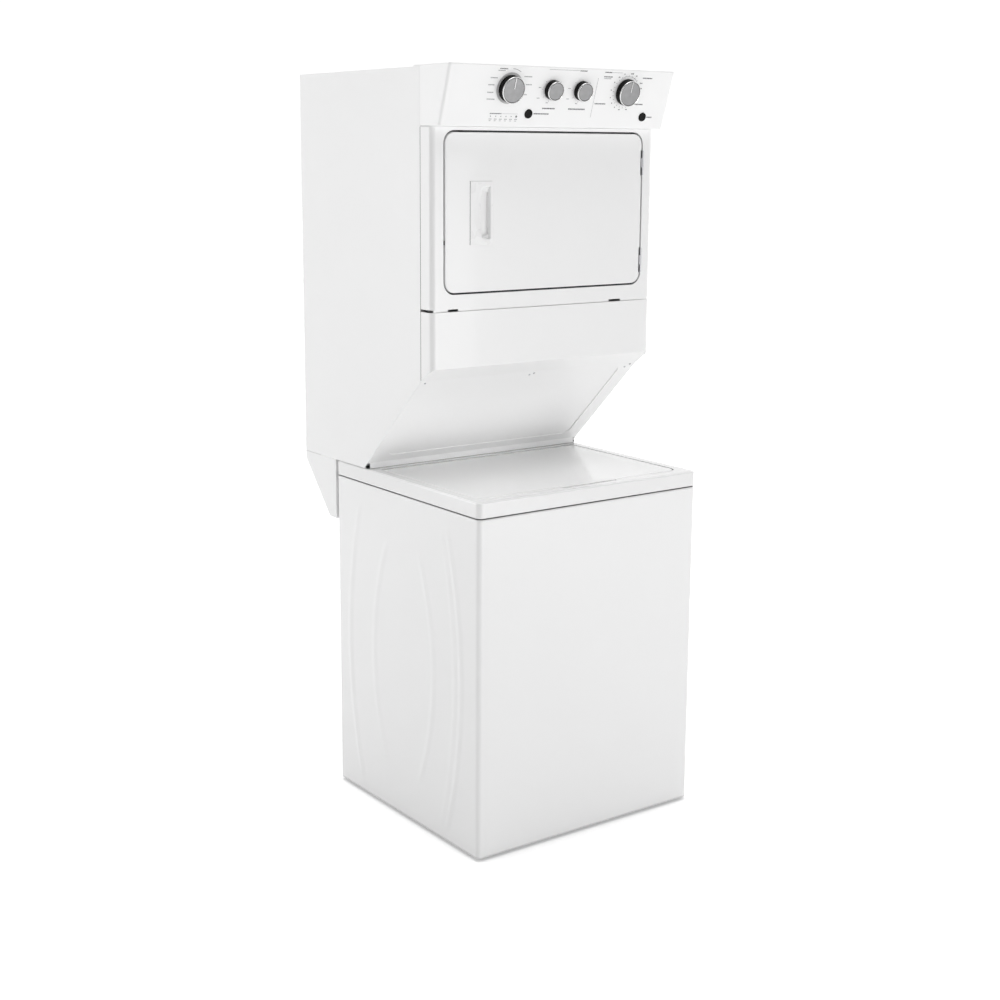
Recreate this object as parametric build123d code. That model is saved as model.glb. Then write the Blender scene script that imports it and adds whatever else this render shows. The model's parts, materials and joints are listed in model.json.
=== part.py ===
from build123d import *
import math
import os

# Stacked laundry centre: a top-loading washer with a dryer fixed above it.
# Frame: millimetres, +Z up, +X to the user's right, the front faces -Y.
# The origin is the bottom centre of the whole machine's bounding box.

# ---------------------------------------------------------------- overall size
WIDTH = 692.15
DEPTH = 823.9
HEIGHT = 1917.7
HALF_W = WIDTH / 2
FRONT = -DEPTH / 2
BACK = DEPTH / 2
SHEET = 1.2                       # sheet steel thickness
GAP = 0.3                         # air between neighbouring solids

# ---------------------------------------------------------------- washer
WASHER_DEPTH = 660.0
WASHER_BACK = FRONT + WASHER_DEPTH
CABINET_BOTTOM = 8.0
CABINET_TOP = 862.2
CABINET_INSET = 0.8               # the shell stands this far inside the deck's edge
CABINET_CORNER = 12.0
CABINET_WALL = 1.0
DECK_BOTTOM = 865.4
DECK_TOP = 903.4
DECK_CORNER = 14.0
DECK_WALL = 2.0
RECESS_FLOOR = 878.0
LID_HALF_W = 316.0
LID_FRONT = -373.0
LID_BACK = 62.0
LID_BOTTOM = 886.0
LID_CORNER = 30.0
LID_BACK_CORNER = 6.0
LID_SKIN = 2.0
LID_GAP = 3.0
LID_HINGE_ROOM = 7.0               # extra room behind the lid, where its edge swings down
LID_PIVOT_Y = 52.0
LID_PIVOT_Z = 893.0
LID_PIN_R = 3.0
LID_PIN_LEN = 8.0
PULL_X0 = -75.0                   # finger notch in front of the lid
PULL_X1 = 108.0
PULL_DEPTH = 9.0
LOAD_HALF_W = 205.0               # loading opening in the recess floor
LOAD_FRONT = -322.0
LOAD_BACK = 36.0
LOAD_CORNER = 120.0

TUB_Y = (FRONT + WASHER_BACK) / 2
TUB_R = 300.0
TUB_WALL = 3.0
TUB_BOTTOM = 230.0
TUB_TOP = 800.0
EAR_REACH = 435.0
EAR_WIDTH = 36.0
EAR_BOTTOM = 300.0
EAR_TOP = 314.0
ROD_OFFSET_X = 303.0
ROD_OFFSET_Y = 288.0
ROD_R = 4.0
ROD_BOTTOM = 215.0
ROD_TOP = 845.0
SPRING_R = 12.0
SPRING_WIRE = 1.8
SPRING_TURNS = 6

BASKET_R = 262.0
BASKET_WALL = 1.5
BASKET_BOTTOM = 250.0
BASKET_TOP = 776.0
BALANCE_RING_IN = 236.0
BALANCE_RING_BOTTOM = 754.0
BALANCE_RING_TOP = 796.0
SPIN_TUBE_R = 22.0
RUNNING_FIT = 0.05
SHAFT_R = 12.0
AGITATOR_TOP = 740.0
AGITATOR_BASE_R = 150.0
AGITATOR_POST_R = 48.0
VANE_COUNT = 4
VANE_START = 20.0                 # turn of the first vane from +X
VANE_T = 6.0

PULLEY_Z = 112.0
PULLEY_W = 18.0
DRIVE_PULLEY_R = 75.0
MOTOR_PULLEY_R = 15.0
BELT_W = 12.0
BELT_T = 4.0
MOTOR_X = 178.0
MOTOR_R = 62.0
MOTOR_BOTTOM = 136.0
MOTOR_TOP = 222.0
GEARCASE_R = 70.0
GEARCASE_BOTTOM = 136.0
PUMP_X = -150.0
PUMP_Y = -190.0
PUMP_R = 44.0

FOOT_X = 305.0
FOOT_DY = 292.0
FOOT_PAD_R = 20.0
FOOT_PAD_H = 9.0
FOOT_STUD_R = 5.0
FOOT_STUD_TOP = 58.0
BASE_BOTTOM = 18.0
BASE_TOP = 44.0
BASE_RAIL = 74.0
BASE_SKIN = 2.5

INLET_X = (-214.0, -160.0)
INLET_Z = 690.0
INLET_R = 13.2
INLET_LEN = 14.0                  # threaded end, outside the washer's back
INLET_NECK = 1.0
DRAIN_X = 190.0
DRAIN_Z = 660.0
DRAIN_R = 15.0
ACCESS_SCREW_ZS = (125, 365, 605)

# ---------------------------------------------------------------- dryer cabinet
DRYER_TOP = 1914.0
SIDE_BOTTOM = DECK_TOP + 0.9
SIDE_FRONT = -166.0               # seam between side panel and front panels
PANEL_FRONT = -214.0              # face of the front panel and access panel
PANEL_CORNER = 14.0
SLOPE_TOP_Z = 1163.5              # sloped underside, top front edge
SLOPE_FOOT_Y = 100.0              # sloped underside, lower back edge
SLOPE_FOOT_Z = 909.0
SLOPE_LIP_TOP = 918.0             # upright lip along the sloped panel's foot
SLOPE_LIP_END = 7.0               # open corner between the lip and a side panel
FRONT_BOTTOM = 1341.0
FRONT_TOP = 1774.6
ACCESS_TOP = 1334.5
ACCESS_EDGE_Z = 1196.0            # lower front edge of the access panel
EMBOSS_SIDE = 44.0                # border round the sloped panel's pressed field
EMBOSS_FOOT = 30.0
EMBOSS_HEAD = 14.0
EMBOSS_CORNER = 24.0
EMBOSS_DEPTH = 1.6
HOOK_SETBACK = 3.0                # strip behind the gap between front and access panels
HOOK_CLEAR = 0.6
HOOK_SPANS = ((-338.0, -297.0), (-267.0, 208.0), (247.0, 338.0))

DOOR_Z = 1571.0
DOOR_OPEN_HALF_W = 312.0
DOOR_OPEN_HALF_H = 195.5
DOOR_OPEN_CORNER = 32.0
DOOR_GAP = 4.5
DOOR_HALF_W = DOOR_OPEN_HALF_W - DOOR_GAP
DOOR_HALF_H = DOOR_OPEN_HALF_H - DOOR_GAP
DOOR_CORNER = DOOR_OPEN_CORNER - DOOR_GAP
DOOR_FRONT = PANEL_FRONT - 1.0
DOOR_INNER_Y = -197.0             # joint between the door's two pans
FLANGE_Y = -192.0                 # face the seal closes against
FLANGE_W = 20.0
THROAT_HALF_W = 291.0
THROAT_HALF_H = 174.5
THROAT_CORNER = 30.0
PLUG_CLEAR = 8.0
PLUG_Y = -189.0

HINGE_X = DOOR_OPEN_HALF_W - 2.2
HINGE_Y = PANEL_FRONT - 2.0
HINGE_PIN_R = 1.6
HINGE_BARREL_R = 2.8
HINGE_LEN = 62.0
HINGE_ZS = (1439.5, 1689.5)

HANDLE_X0 = -234.5
HANDLE_X1 = -168.0
HANDLE_Z0 = 1494.0
HANDLE_Z1 = 1647.0
HANDLE_PROUD = 1.3
HANDLE_BACK = DOOR_INNER_Y - 1.0
SCOOP_Z0 = 1508.0
SCOOP_Z1 = 1633.0

# ---------------------------------------------------------------- dryer inside
DRUM_Z = 1562.0
DRUM_R = 300.0
DRUM_WALL = 1.0
DRUM_FRONT = -156.0
DRUM_BACK = 384.0
DRUM_LIP_R = 252.0
DRUM_REAR_LIP_R = 284.0
BAFFLE_COUNT = 3
BAFFLE_H = 58.0
BAFFLE_W = 64.0
BULKHEAD_Y = -166.0
BULKHEAD_HOLE_R = 238.0
REAR_BULKHEAD_Y = 388.0
ROLLER_R = 33.0
ROLLER_W = 22.0
ROLLER_ANGLE = 35.0
ROLLER_Y = 346.0
AXLE_R = 6.0
BELT_Y = 120.0
DRUM_BELT_W = 10.0
DRUM_BELT_T = 1.6
DMOTOR_X = 70.0
DMOTOR_Z = 1138.0
DMOTOR_R = 66.0
DMOTOR_Y0 = 150.0
DMOTOR_Y1 = 282.0
DPULLEY_R = 12.0
IDLER_X = -46.0
IDLER_Z = 1160.0
IDLER_R = 28.0
BLOWER_Y0 = 302.0
BLOWER_Y1 = 366.0
BLOWER_R = 84.0
BLOWER_CASE_R = 108.0
EXHAUST_R = 50.8
EXHAUST_X = 70.0
EXHAUST_Z = 985.0
POCKET_HALF = 80.0
POCKET_DEPTH = 42.0
BACK_SCREW_ZS = (960, 1180, 1400, 1620, 1840)
LINT_HALF_W = 148.0
LINT_Y0 = -184.0
LINT_Y1 = -174.0
LINT_BOTTOM = 1212.0
LINT_TOP = 1408.0
LINT_DUCT_BOTTOM = 1204.0
AIR_DUCT_HALF_W = 54.0
AIR_DUCT_Z0 = 1214.0
AIR_DUCT_Z1 = 1254.0
BULKHEAD_HALF_W = 328.0
PAN_Z = SIDE_BOTTOM + 0.6

# ---------------------------------------------------------------- console
CONSOLE_BOTTOM_Y = -246.0
CONSOLE_BOTTOM_Z = 1775.0
CONSOLE_TOP_Y = -292.0
CONSOLE_BACK_Y = -137.0
CONSOLE_WALL = 3.0
CONSOLE_END_WALL = 4.0
CONSOLE_CORNER = 7.0
CONSOLE_EDGE = 3.0
TILT = math.degrees(math.atan2(CONSOLE_BOTTOM_Y - CONSOLE_TOP_Y, HEIGHT - CONSOLE_BOTTOM_Z))
BIG_KNOB_R = 32.5
SMALL_KNOB_R = 23.8
BIG_KNOB_H = 20.0
SMALL_KNOB_H = 18.5
KNOB_LIFT = 1.2
KNOB_SHAFT_R = 3.0
KNOB_HOLE_R = 4.5
KNOBS = {                         # x, distance up the console's face, radius, height
    "washer_cycle_knob": (-163.0, 94.0, BIG_KNOB_R, BIG_KNOB_H),
    "left_option_knob": (-35.0, 94.0, SMALL_KNOB_R, SMALL_KNOB_H),
    "right_option_knob": (56.0, 94.0, SMALL_KNOB_R, SMALL_KNOB_H),
    "dryer_timer_knob": (198.0, 94.0, BIG_KNOB_R, BIG_KNOB_H),
}
BUTTON_R = 11.0
BUTTON_PROUD = 3.0
BUTTON_CLEAR = 0.4
BUTTONS = {
    "washer_start_button": (-93.0, 33.0),
    "dryer_start_button": (270.0, 31.0),
}


# ---------------------------------------------------------------- helpers
def block(x0, x1, y0, y1, z0, z1):
    """Box from its lowest to its highest corner."""
    size = Box(x1 - x0, y1 - y0, z1 - z0)
    return Pos((x0 + x1) / 2, (y0 + y1) / 2, (z0 + z1) / 2) * size


def post(x, y, z0, z1, r):
    """Upright cylinder."""
    return Pos(x, y, (z0 + z1) / 2) * Cylinder(r, z1 - z0)


def rod_y(x, z, y0, y1, r):
    """Cylinder along Y."""
    return Pos(x, (y0 + y1) / 2, z) * Rot(90, 0, 0) * Cylinder(r, y1 - y0)


def rod_x(y, z, x0, x1, r):
    """Cylinder along X."""
    return Pos((x0 + x1) / 2, y, z) * Rot(0, 90, 0) * Cylinder(r, x1 - x0)


def slab_z(x0, x1, y0, y1, z0, z1, corner):
    """Upright prism with rounded vertical edges."""
    outline = Pos((x0 + x1) / 2, (y0 + y1) / 2) * RectangleRounded(x1 - x0, y1 - y0, corner)
    return Pos(0, 0, z0) * extrude(outline, z1 - z0)


def slab_y(half_w, half_h, zc, y0, y1, corner):
    """Prism along Y with rounded edges, centred on X = 0 and Z = zc."""
    outline = Plane(origin=(0, y1, zc), x_dir=(1, 0, 0), z_dir=(0, -1, 0)) * RectangleRounded(
        2 * half_w, 2 * half_h, corner)
    return extrude(outline, y1 - y0)


def prism_x(points, x0, x1):
    """Prism along X from a list of (Y, Z) points."""
    face = make_face(Polyline(*[(x0, y, z) for y, z in points], close=True))
    return extrude(face, x1 - x0, dir=(1, 0, 0))


def spun(points, x, y):
    """Solid turned about the upright axis at (x, y) from (radius, Z) points."""
    face = make_face(Polyline(*[(r, 0, z) for r, z in points], close=True))
    return Pos(x, y, 0) * revolve(face, Axis.Z)


def spun_y(points, x, z):
    """Solid turned about the axis along Y through (x, z) from (radius, Y) points."""
    face = make_face(Polyline(*[(r, y, 0) for r, y in points], close=True))
    return Pos(x, 0, z) * revolve(face, Axis.Y)


def slope_z(y):
    """Height of the sloped underside at depth y."""
    share = (y - SIDE_FRONT) / (SLOPE_FOOT_Y - SIDE_FRONT)
    return SLOPE_TOP_Z + share * (SLOPE_FOOT_Z - SLOPE_TOP_Z)


def slope_y(z):
    """Depth at which the sloped underside has height z."""
    share = (SLOPE_TOP_Z - z) / (SLOPE_TOP_Z - SLOPE_FOOT_Z)
    return SIDE_FRONT + share * (SLOPE_FOOT_Y - SIDE_FRONT)


def console_plane(x, up, lift=0.0):
    """Plane on the console's face, its Z pointing out of the face."""
    t = math.radians(TILT)
    normal = (0, -math.cos(t), -math.sin(t))
    y = CONSOLE_BOTTOM_Y - up * math.sin(t) + lift * normal[1]
    z = CONSOLE_BOTTOM_Z + up * math.cos(t) + lift * normal[2]
    return Plane(origin=(x, y, z), x_dir=(1, 0, 0), z_dir=normal)


def on_console(x, up, lift, solid):
    """Place a solid, made standing on Z = 0, on the console's face."""
    return console_plane(x, up, lift).location * solid




# ---------------------------------------------------------------- washer parts
def make_washer_cabinet():
    x = HALF_W - CABINET_INSET
    y0 = FRONT + CABINET_INSET
    y1 = WASHER_BACK
    t = CABINET_WALL
    shell = slab_z(-x, x, y0, y1, CABINET_BOTTOM, CABINET_TOP, CABINET_CORNER)
    inner = slab_z(-x + t, x - t, y0 + t, y1 - t, 0, CABINET_TOP + 1, CABINET_CORNER - t)
    shell -= inner
    shell -= block(-262, 262, y1 - 5, y1 + 5, 118, 612)
    for px in INLET_X:
        shell -= rod_y(px, INLET_Z, y1 - 5, y1 + 5, INLET_R + 2)
    shell -= rod_y(DRAIN_X, DRAIN_Z, y1 - 5, y1 + 5, DRAIN_R + 2)
    for sx in (-1, 1):
        for z in ACCESS_SCREW_ZS:
            shell -= rod_y(sx * 268, z, y1 - 5, y1 + 5, 2.3)
    for sx in (-1, 1):
        for sy in (-1, 1):
            shell += hanger(sx, sy)
    return shell


def hanger(sx, sy):
    """Corner plate near the shell's top that a suspension rod hangs from."""
    x_wall = sx * (HALF_W - CABINET_INSET - CABINET_WALL / 2)
    y_wall = TUB_Y + sy * (WASHER_DEPTH / 2 - CABINET_WALL / 2 - 0.4)
    x_in = sx * (ROD_OFFSET_X - 20)
    y_in = TUB_Y + sy * (ROD_OFFSET_Y - 20)
    plate = block(min(x_wall, x_in), max(x_wall, x_in), min(y_wall, y_in), max(y_wall, y_in), 828, 831)
    plate &= slab_z(-HALF_W + 1.5, HALF_W - 1.5, FRONT + 1.5, WASHER_BACK - 0.7, 820, 840, 11)
    return plate - post(sx * ROD_OFFSET_X, TUB_Y + sy * ROD_OFFSET_Y, 820, 840, ROD_R + 1)


def make_washer_base():
    x = HALF_W - CABINET_INSET - CABINET_WALL - GAP
    y0 = FRONT + CABINET_INSET + CABINET_WALL + GAP
    y1 = WASHER_BACK - CABINET_WALL - GAP
    ring = slab_z(-x, x, y0, y1, BASE_BOTTOM, BASE_TOP, 11)
    hole = slab_z(-x + BASE_RAIL, x - BASE_RAIL, y0 + BASE_RAIL, y1 - BASE_RAIL, 0, 100, 40)
    s = BASE_SKIN
    under = slab_z(-x + s, x - s, y0 + s, y1 - s, 0, BASE_TOP - s, 11 - s)
    rail = slab_z(-x + BASE_RAIL - s, x - BASE_RAIL + s, y0 + BASE_RAIL - s, y1 - BASE_RAIL + s,
                  BASE_BOTTOM, BASE_TOP, 40 + s)
    frame = ring - (under - rail) - hole
    for fx, fy in foot_places():
        frame += post(fx, fy, BASE_BOTTOM, BASE_TOP, 13)
        frame -= post(fx, fy, 0, 100, FOOT_STUD_R + RUNNING_FIT)
    return frame


def foot_places():
    return [(sx * FOOT_X, TUB_Y + sy * FOOT_DY) for sy in (-1, 1) for sx in (-1, 1)]


def make_foot(x, y):
    pad = spun([(0, 0), (FOOT_PAD_R - 2, 0), (FOOT_PAD_R, 2), (FOOT_PAD_R - 1, FOOT_PAD_H - 1),
                (FOOT_PAD_R - 4, FOOT_PAD_H), (0, FOOT_PAD_H)], x, y)
    nut = Pos(x, y, FOOT_PAD_H) * extrude(RegularPolygon(11, 6), 5)
    stud = post(x, y, FOOT_PAD_H, FOOT_STUD_TOP, FOOT_STUD_R)
    return pad + nut + stud


def make_rear_feet():
    return Compound([make_foot(x, y).solid() for x, y in foot_places()[2:]])


def make_rear_access_panel():
    y = WASHER_BACK + GAP
    plate = slab_y(276, 262, 365, y, y + SHEET, 10)
    for z in (230, 300, 370, 440, 510):
        plate += slab_y(200, 9, z, y + SHEET, y + SHEET + 2.0, 8)
    for sx in (-1, 1):
        for z in ACCESS_SCREW_ZS:
            plate -= rod_y(sx * 268, z, y - 2, y + 5, 2.3)
    return plate


def make_deck():
    x = HALF_W
    y0 = FRONT
    y1 = WASHER_BACK
    body = slab_z(-x, x, y0, y1, DECK_BOTTOM, DECK_TOP, DECK_CORNER)
    body = fillet(body.edges().group_by(Axis.Z)[-1], 5.0)
    w = DECK_WALL
    hollow = slab_z(-x + w, x - w, y0 + w, y1 - w, 0, RECESS_FLOOR - w, DECK_CORNER - w)
    body -= hollow
    lx = LID_HALF_W + LID_GAP
    back = LID_BACK + LID_HINGE_ROOM
    body -= lid_slab(LID_GAP, back, RECESS_FLOOR, DECK_TOP + 1)
    # the ledge round the recess is hollow too, so that the deck stays a thin moulding
    ledge = slab_z(-x + w, x - w, y0 + w, y1 - w, 0, DECK_TOP - w, DECK_CORNER - w)
    body -= ledge - lid_slab(LID_GAP + w, back, 0, DECK_TOP)
    body -= slab_z(-LOAD_HALF_W, LOAD_HALF_W, LOAD_FRONT, LOAD_BACK, 0, DECK_TOP, LOAD_CORNER)
    lip = slab_z(-LOAD_HALF_W - w, LOAD_HALF_W + w, LOAD_FRONT - w, LOAD_BACK + w, RECESS_FLOOR - 16,
                 RECESS_FLOOR, LOAD_CORNER + w)
    lip -= slab_z(-LOAD_HALF_W, LOAD_HALF_W, LOAD_FRONT, LOAD_BACK, 0, DECK_TOP, LOAD_CORNER)
    body += lip
    # shallow finger scoop in the ledge in front of the lid
    scoop = block(PULL_X0 + 6, PULL_X1 - 6, LID_FRONT - LID_GAP - PULL_DEPTH, LID_FRONT - 1,
                  RECESS_FLOOR, DECK_TOP + 1)
    floor = block(PULL_X0, PULL_X1, LID_FRONT - LID_GAP - PULL_DEPTH - w, LID_FRONT - LID_GAP,
                  RECESS_FLOOR - w, DECK_TOP - 3)
    body += floor
    body -= scoop
    for sx in (-1, 1):
        ear = rod_x(LID_PIVOT_Y, LID_PIVOT_Z, min(sx * (lx - 0.5), sx * (lx + 9)),
                    max(sx * (lx - 0.5), sx * (lx + 9)), LID_PIN_R + 3)
        body += ear
        body -= rod_x(LID_PIVOT_Y, LID_PIVOT_Z, -lx - 8 if sx < 0 else lx - 2,
                      -lx + 2 if sx < 0 else lx + 8, LID_PIN_R + RUNNING_FIT)
    return body


def lid_slab(grow, back, z0, z1):
    """Prism of the lid's outline: large corners in front, small ones at the hinge side."""
    x = LID_HALF_W + grow
    front = LID_FRONT - grow
    whole = slab_z(-x, x, front, back + grow, z0, z1, LID_CORNER + grow)
    rear = slab_z(-x, x, (front + back) / 2, back + grow, z0, z1, LID_BACK_CORNER + grow)
    return whole + rear


def make_lid():
    x = LID_HALF_W
    outline = lid_slab(0, LID_BACK, LID_BOTTOM, DECK_TOP)
    outline = fillet(outline.edges().group_by(Axis.Z)[-1], 4.0)
    lid = outline - lid_slab(-LID_SKIN, LID_BACK, 0, DECK_TOP - LID_SKIN)
    for rib_x in (-210, -70, 70, 210):
        lid += block(rib_x - 1.5, rib_x + 1.5, LID_FRONT + 1, LID_BACK - 1, LID_BOTTOM + 5, DECK_TOP - 1)
    for sx in (-1, 1):
        inner = sx * (x - 1)
        outer = sx * (x + LID_PIN_LEN)
        lid += rod_x(LID_PIVOT_Y, LID_PIVOT_Z, min(inner, outer), max(inner, outer), LID_PIN_R)
    return lid


def make_outer_tub():
    t = TUB_WALL
    hole_r = SPIN_TUBE_R + 8
    return spun([(hole_r, TUB_BOTTOM), (TUB_R, TUB_BOTTOM), (TUB_R, TUB_TOP), (TUB_R - t, TUB_TOP),
                 (TUB_R - t, TUB_BOTTOM + t), (hole_r, TUB_BOTTOM + t)], 0, TUB_Y)


def tub_bracket(sx, sy):
    """Clip-on bracket from the tub's wall out to a suspension rod."""
    angle = math.degrees(math.atan2(sy * ROD_OFFSET_Y, sx * ROD_OFFSET_X))
    arm = block(TUB_R - TUB_WALL, EAR_REACH, -EAR_WIDTH / 2, EAR_WIDTH / 2, EAR_BOTTOM, EAR_TOP)
    arm = Pos(0, TUB_Y, 0) * Rot(0, 0, angle) * arm
    arm -= post(0, TUB_Y, EAR_BOTTOM - 1, EAR_TOP + 1, TUB_R + GAP)
    return arm - post(sx * ROD_OFFSET_X, TUB_Y + sy * ROD_OFFSET_Y, EAR_BOTTOM - 1, EAR_TOP + 1, ROD_R + 1)


def make_tub_ring():
    z = TUB_TOP + GAP
    return spun([(TUB_R + GAP, z - 12), (TUB_R + 4, z - 12), (TUB_R + 4, z + 20), (238, z + 20),
                 (238, z + 17), (TUB_R + 1, z + 17), (TUB_R + 1, z), (TUB_R + GAP, z)], 0, TUB_Y)


def make_suspension():
    pieces = []
    for sx in (-1, 1):
        for sy in (-1, 1):
            x = sx * ROD_OFFSET_X
            y = TUB_Y + sy * ROD_OFFSET_Y
            rod = post(x, y, ROD_BOTTOM, ROD_TOP, ROD_R)
            rod += post(x, y, ROD_BOTTOM - 4, ROD_BOTTOM + 4, SPRING_R + 4)
            rod += spun([(0, 831.4), (10, 831.4), (12, 836), (10, 842), (0, ROD_TOP)], x, y)
            pieces.append(rod.solid())
            pieces.append(spring(x, y))
            pieces.append(tub_bracket(sx, sy).solid())
    return Compound(pieces)


def spring(x, y):
    z0 = ROD_BOTTOM + 4 + SPRING_WIRE + GAP
    height = EAR_BOTTOM - SPRING_WIRE - GAP - z0
    path = Helix(height / SPRING_TURNS, height, SPRING_R)
    start = Plane(origin=path @ 0, z_dir=path % 0)
    coil = sweep(start * Circle(SPRING_WIRE), path=path, is_frenet=True)
    return (Pos(x, y, z0) * coil).solid()


def make_basket():
    t = BASKET_WALL
    r = BASKET_R
    wall = spun([(SHAFT_R + 6, BASKET_BOTTOM), (r, BASKET_BOTTOM), (r, BASKET_TOP), (r - t, BASKET_TOP),
                 (r - t, BASKET_BOTTOM + t), (SHAFT_R + 6, BASKET_BOTTOM + t)], 0, TUB_Y)
    hub = spun([(SHAFT_R + RUNNING_FIT, 134), (SPIN_TUBE_R, 134), (SPIN_TUBE_R, 238), (70, 242),
                (70, BASKET_BOTTOM + 0.5), (60, BASKET_BOTTOM + 10), (SHAFT_R + RUNNING_FIT, BASKET_BOTTOM + 10)],
               0, TUB_Y)
    return wall + hub


def make_balance_ring():
    """Moulded ring that sits on the basket's rim and laps over its edge."""
    inner = BALANCE_RING_IN
    seat = BASKET_R - BASKET_WALL - GAP
    rim = BASKET_TOP + GAP
    return spun([(inner, BALANCE_RING_BOTTOM), (seat, BALANCE_RING_BOTTOM), (seat, rim), (BASKET_R, rim),
                 (BASKET_R, BALANCE_RING_TOP), (inner + 3, BALANCE_RING_TOP), (inner, BALANCE_RING_TOP - 3)],
                0, TUB_Y)


def make_agitator():
    base = BASKET_BOTTOM + 14
    body = spun([(SHAFT_R + GAP, base), (AGITATOR_BASE_R, base), (AGITATOR_BASE_R, base + 6),
                 (90, base + 40), (AGITATOR_POST_R + 8, base + 110), (AGITATOR_POST_R, base + 240),
                 (AGITATOR_POST_R - 6, AGITATOR_TOP - 8), (AGITATOR_POST_R - 14, AGITATOR_TOP),
                 (0, AGITATOR_TOP), (0, AGITATOR_TOP - 40), (SHAFT_R + GAP, AGITATOR_TOP - 60)], 0, TUB_Y)
    body -= spun([(20, base - 1), (AGITATOR_BASE_R - 3, base - 1), (AGITATOR_BASE_R - 3, base + 3),
                  (87, base + 36), (AGITATOR_POST_R + 5, base + 108), (AGITATOR_POST_R - 3, base + 238),
                  (AGITATOR_POST_R - 9, AGITATOR_TOP - 66), (20, AGITATOR_TOP - 66)], 0, TUB_Y)
    vane = agitator_vane(base)
    for i in range(VANE_COUNT):
        body += Pos(0, TUB_Y, 0) * Rot(0, 0, 360 / VANE_COUNT * i + VANE_START) * vane
    return body


def agitator_vane(base):
    """One upright vane in the plane Y = 0, wide at the skirt and narrow up the post."""
    points = [(56, base + 50), (AGITATOR_BASE_R - 8, base + 4), (AGITATOR_BASE_R - 6, base + 30),
              (100, base + 70), (66, base + 160), (50, base + 330), (43, base + 345), (44, base + 300),
              (46, base + 236)]
    face = make_face(Polyline(*[(r, -VANE_T / 2, z) for r, z in points], close=True))
    return extrude(face, VANE_T, dir=(0, 1, 0))


def make_drive_pulley():
    wheel = spun([(0, PULLEY_Z), (DRIVE_PULLEY_R, PULLEY_Z), (DRIVE_PULLEY_R, PULLEY_Z + PULLEY_W),
                  (DRIVE_PULLEY_R - 8, PULLEY_Z + PULLEY_W), (DRIVE_PULLEY_R - 8, PULLEY_Z + 6),
                  (20, PULLEY_Z + 6), (20, PULLEY_Z + PULLEY_W), (0, PULLEY_Z + PULLEY_W)], 0, TUB_Y)
    return wheel + post(0, TUB_Y, PULLEY_Z - 6, AGITATOR_TOP - 62, SHAFT_R)


def make_washer_motor_pulley():
    wheel = post(MOTOR_X, TUB_Y, PULLEY_Z, PULLEY_Z + PULLEY_W, MOTOR_PULLEY_R)
    return wheel + post(MOTOR_X, TUB_Y, PULLEY_Z - 4, MOTOR_BOTTOM + 30, 5)


def make_washer_motor():
    body = spun([(0, MOTOR_BOTTOM + 6), (MOTOR_R - 12, MOTOR_BOTTOM), (MOTOR_R, MOTOR_BOTTOM + 12),
                 (MOTOR_R, MOTOR_TOP - 12), (MOTOR_R - 12, MOTOR_TOP), (0, MOTOR_TOP)], MOTOR_X, TUB_Y)
    body -= post(MOTOR_X, TUB_Y, 0, MOTOR_BOTTOM + 32, 5 + RUNNING_FIT)
    for angle in (45, 135, 225, 315):
        lug = post(MOTOR_X + 52 * math.cos(math.radians(angle)), TUB_Y + 52 * math.sin(math.radians(angle)),
                   MOTOR_BOTTOM + 8, TUB_BOTTOM - GAP, 7)
        body += lug
    return body


def make_gearcase():
    case = spun([(SPIN_TUBE_R + RUNNING_FIT, GEARCASE_BOTTOM), (40, GEARCASE_BOTTOM),
                 (GEARCASE_R - 10, GEARCASE_BOTTOM + 18), (GEARCASE_R, GEARCASE_BOTTOM + 40), (GEARCASE_R, 214),
                 (100, 220), (100, TUB_BOTTOM - GAP), (SPIN_TUBE_R + RUNNING_FIT, TUB_BOTTOM - GAP)], 0, TUB_Y)
    return case


def belt_loop(circles, inner_gap, thickness):
    """Flat loop in the XY plane round (x, y, r) circles."""
    inside = make_hull([e for x, y, r in circles for e in (Pos(x, y) * Circle(r + inner_gap)).edges()])
    outside = make_hull([e for x, y, r in circles
                         for e in (Pos(x, y) * Circle(r + inner_gap + thickness)).edges()])
    return outside - inside


def make_washer_belt():
    loop = belt_loop([(0, TUB_Y, DRIVE_PULLEY_R), (MOTOR_X, TUB_Y, MOTOR_PULLEY_R)], GAP, BELT_T)
    return Pos(0, 0, PULLEY_Z + 3) * extrude(loop, BELT_W)


def make_drain_pump():
    body = spun([(0, 150), (PUMP_R - 6, 150), (PUMP_R, 158), (PUMP_R, 190), (30, 196), (30, 226),
                 (0, 226)], PUMP_X, PUMP_Y)
    spout = rod_x(PUMP_Y, 172, PUMP_X - 90, PUMP_X - 30, 12)
    pump = body + spout - rod_x(PUMP_Y, 172, PUMP_X - 92, PUMP_X - 40, 9.5)
    return Compound([pump.solid(), drain_port().solid()])


def make_inlet_valve():
    y = WASHER_BACK
    body = block(INLET_X[0] - 22, INLET_X[1] + 22, y - 40, y - CABINET_WALL - GAP, INLET_Z - 22, INLET_Z + 22)
    for px in INLET_X:
        body += rod_y(px, INLET_Z, y - 45, y + INLET_NECK, INLET_R - 1)
        body += rod_y(px, INLET_Z, y + INLET_NECK, y + INLET_NECK + INLET_LEN, INLET_R)
        body -= rod_y(px, INLET_Z, y - 10, y + INLET_NECK + INLET_LEN + 1, INLET_R - 3)
        body += post(px, y - 24, INLET_Z + 20, INLET_Z + 62, 15)
    return body


def drain_port():
    """Hose stub through the washer's back."""
    y = WASHER_BACK
    flange = rod_y(DRAIN_X, DRAIN_Z, y + GAP, y + 4, DRAIN_R + 9)
    tube = rod_y(DRAIN_X, DRAIN_Z, y - 40, y + 34, DRAIN_R)
    return flange + tube - rod_y(DRAIN_X, DRAIN_Z, y - 41, y + 35, DRAIN_R - 2.5)


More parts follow.
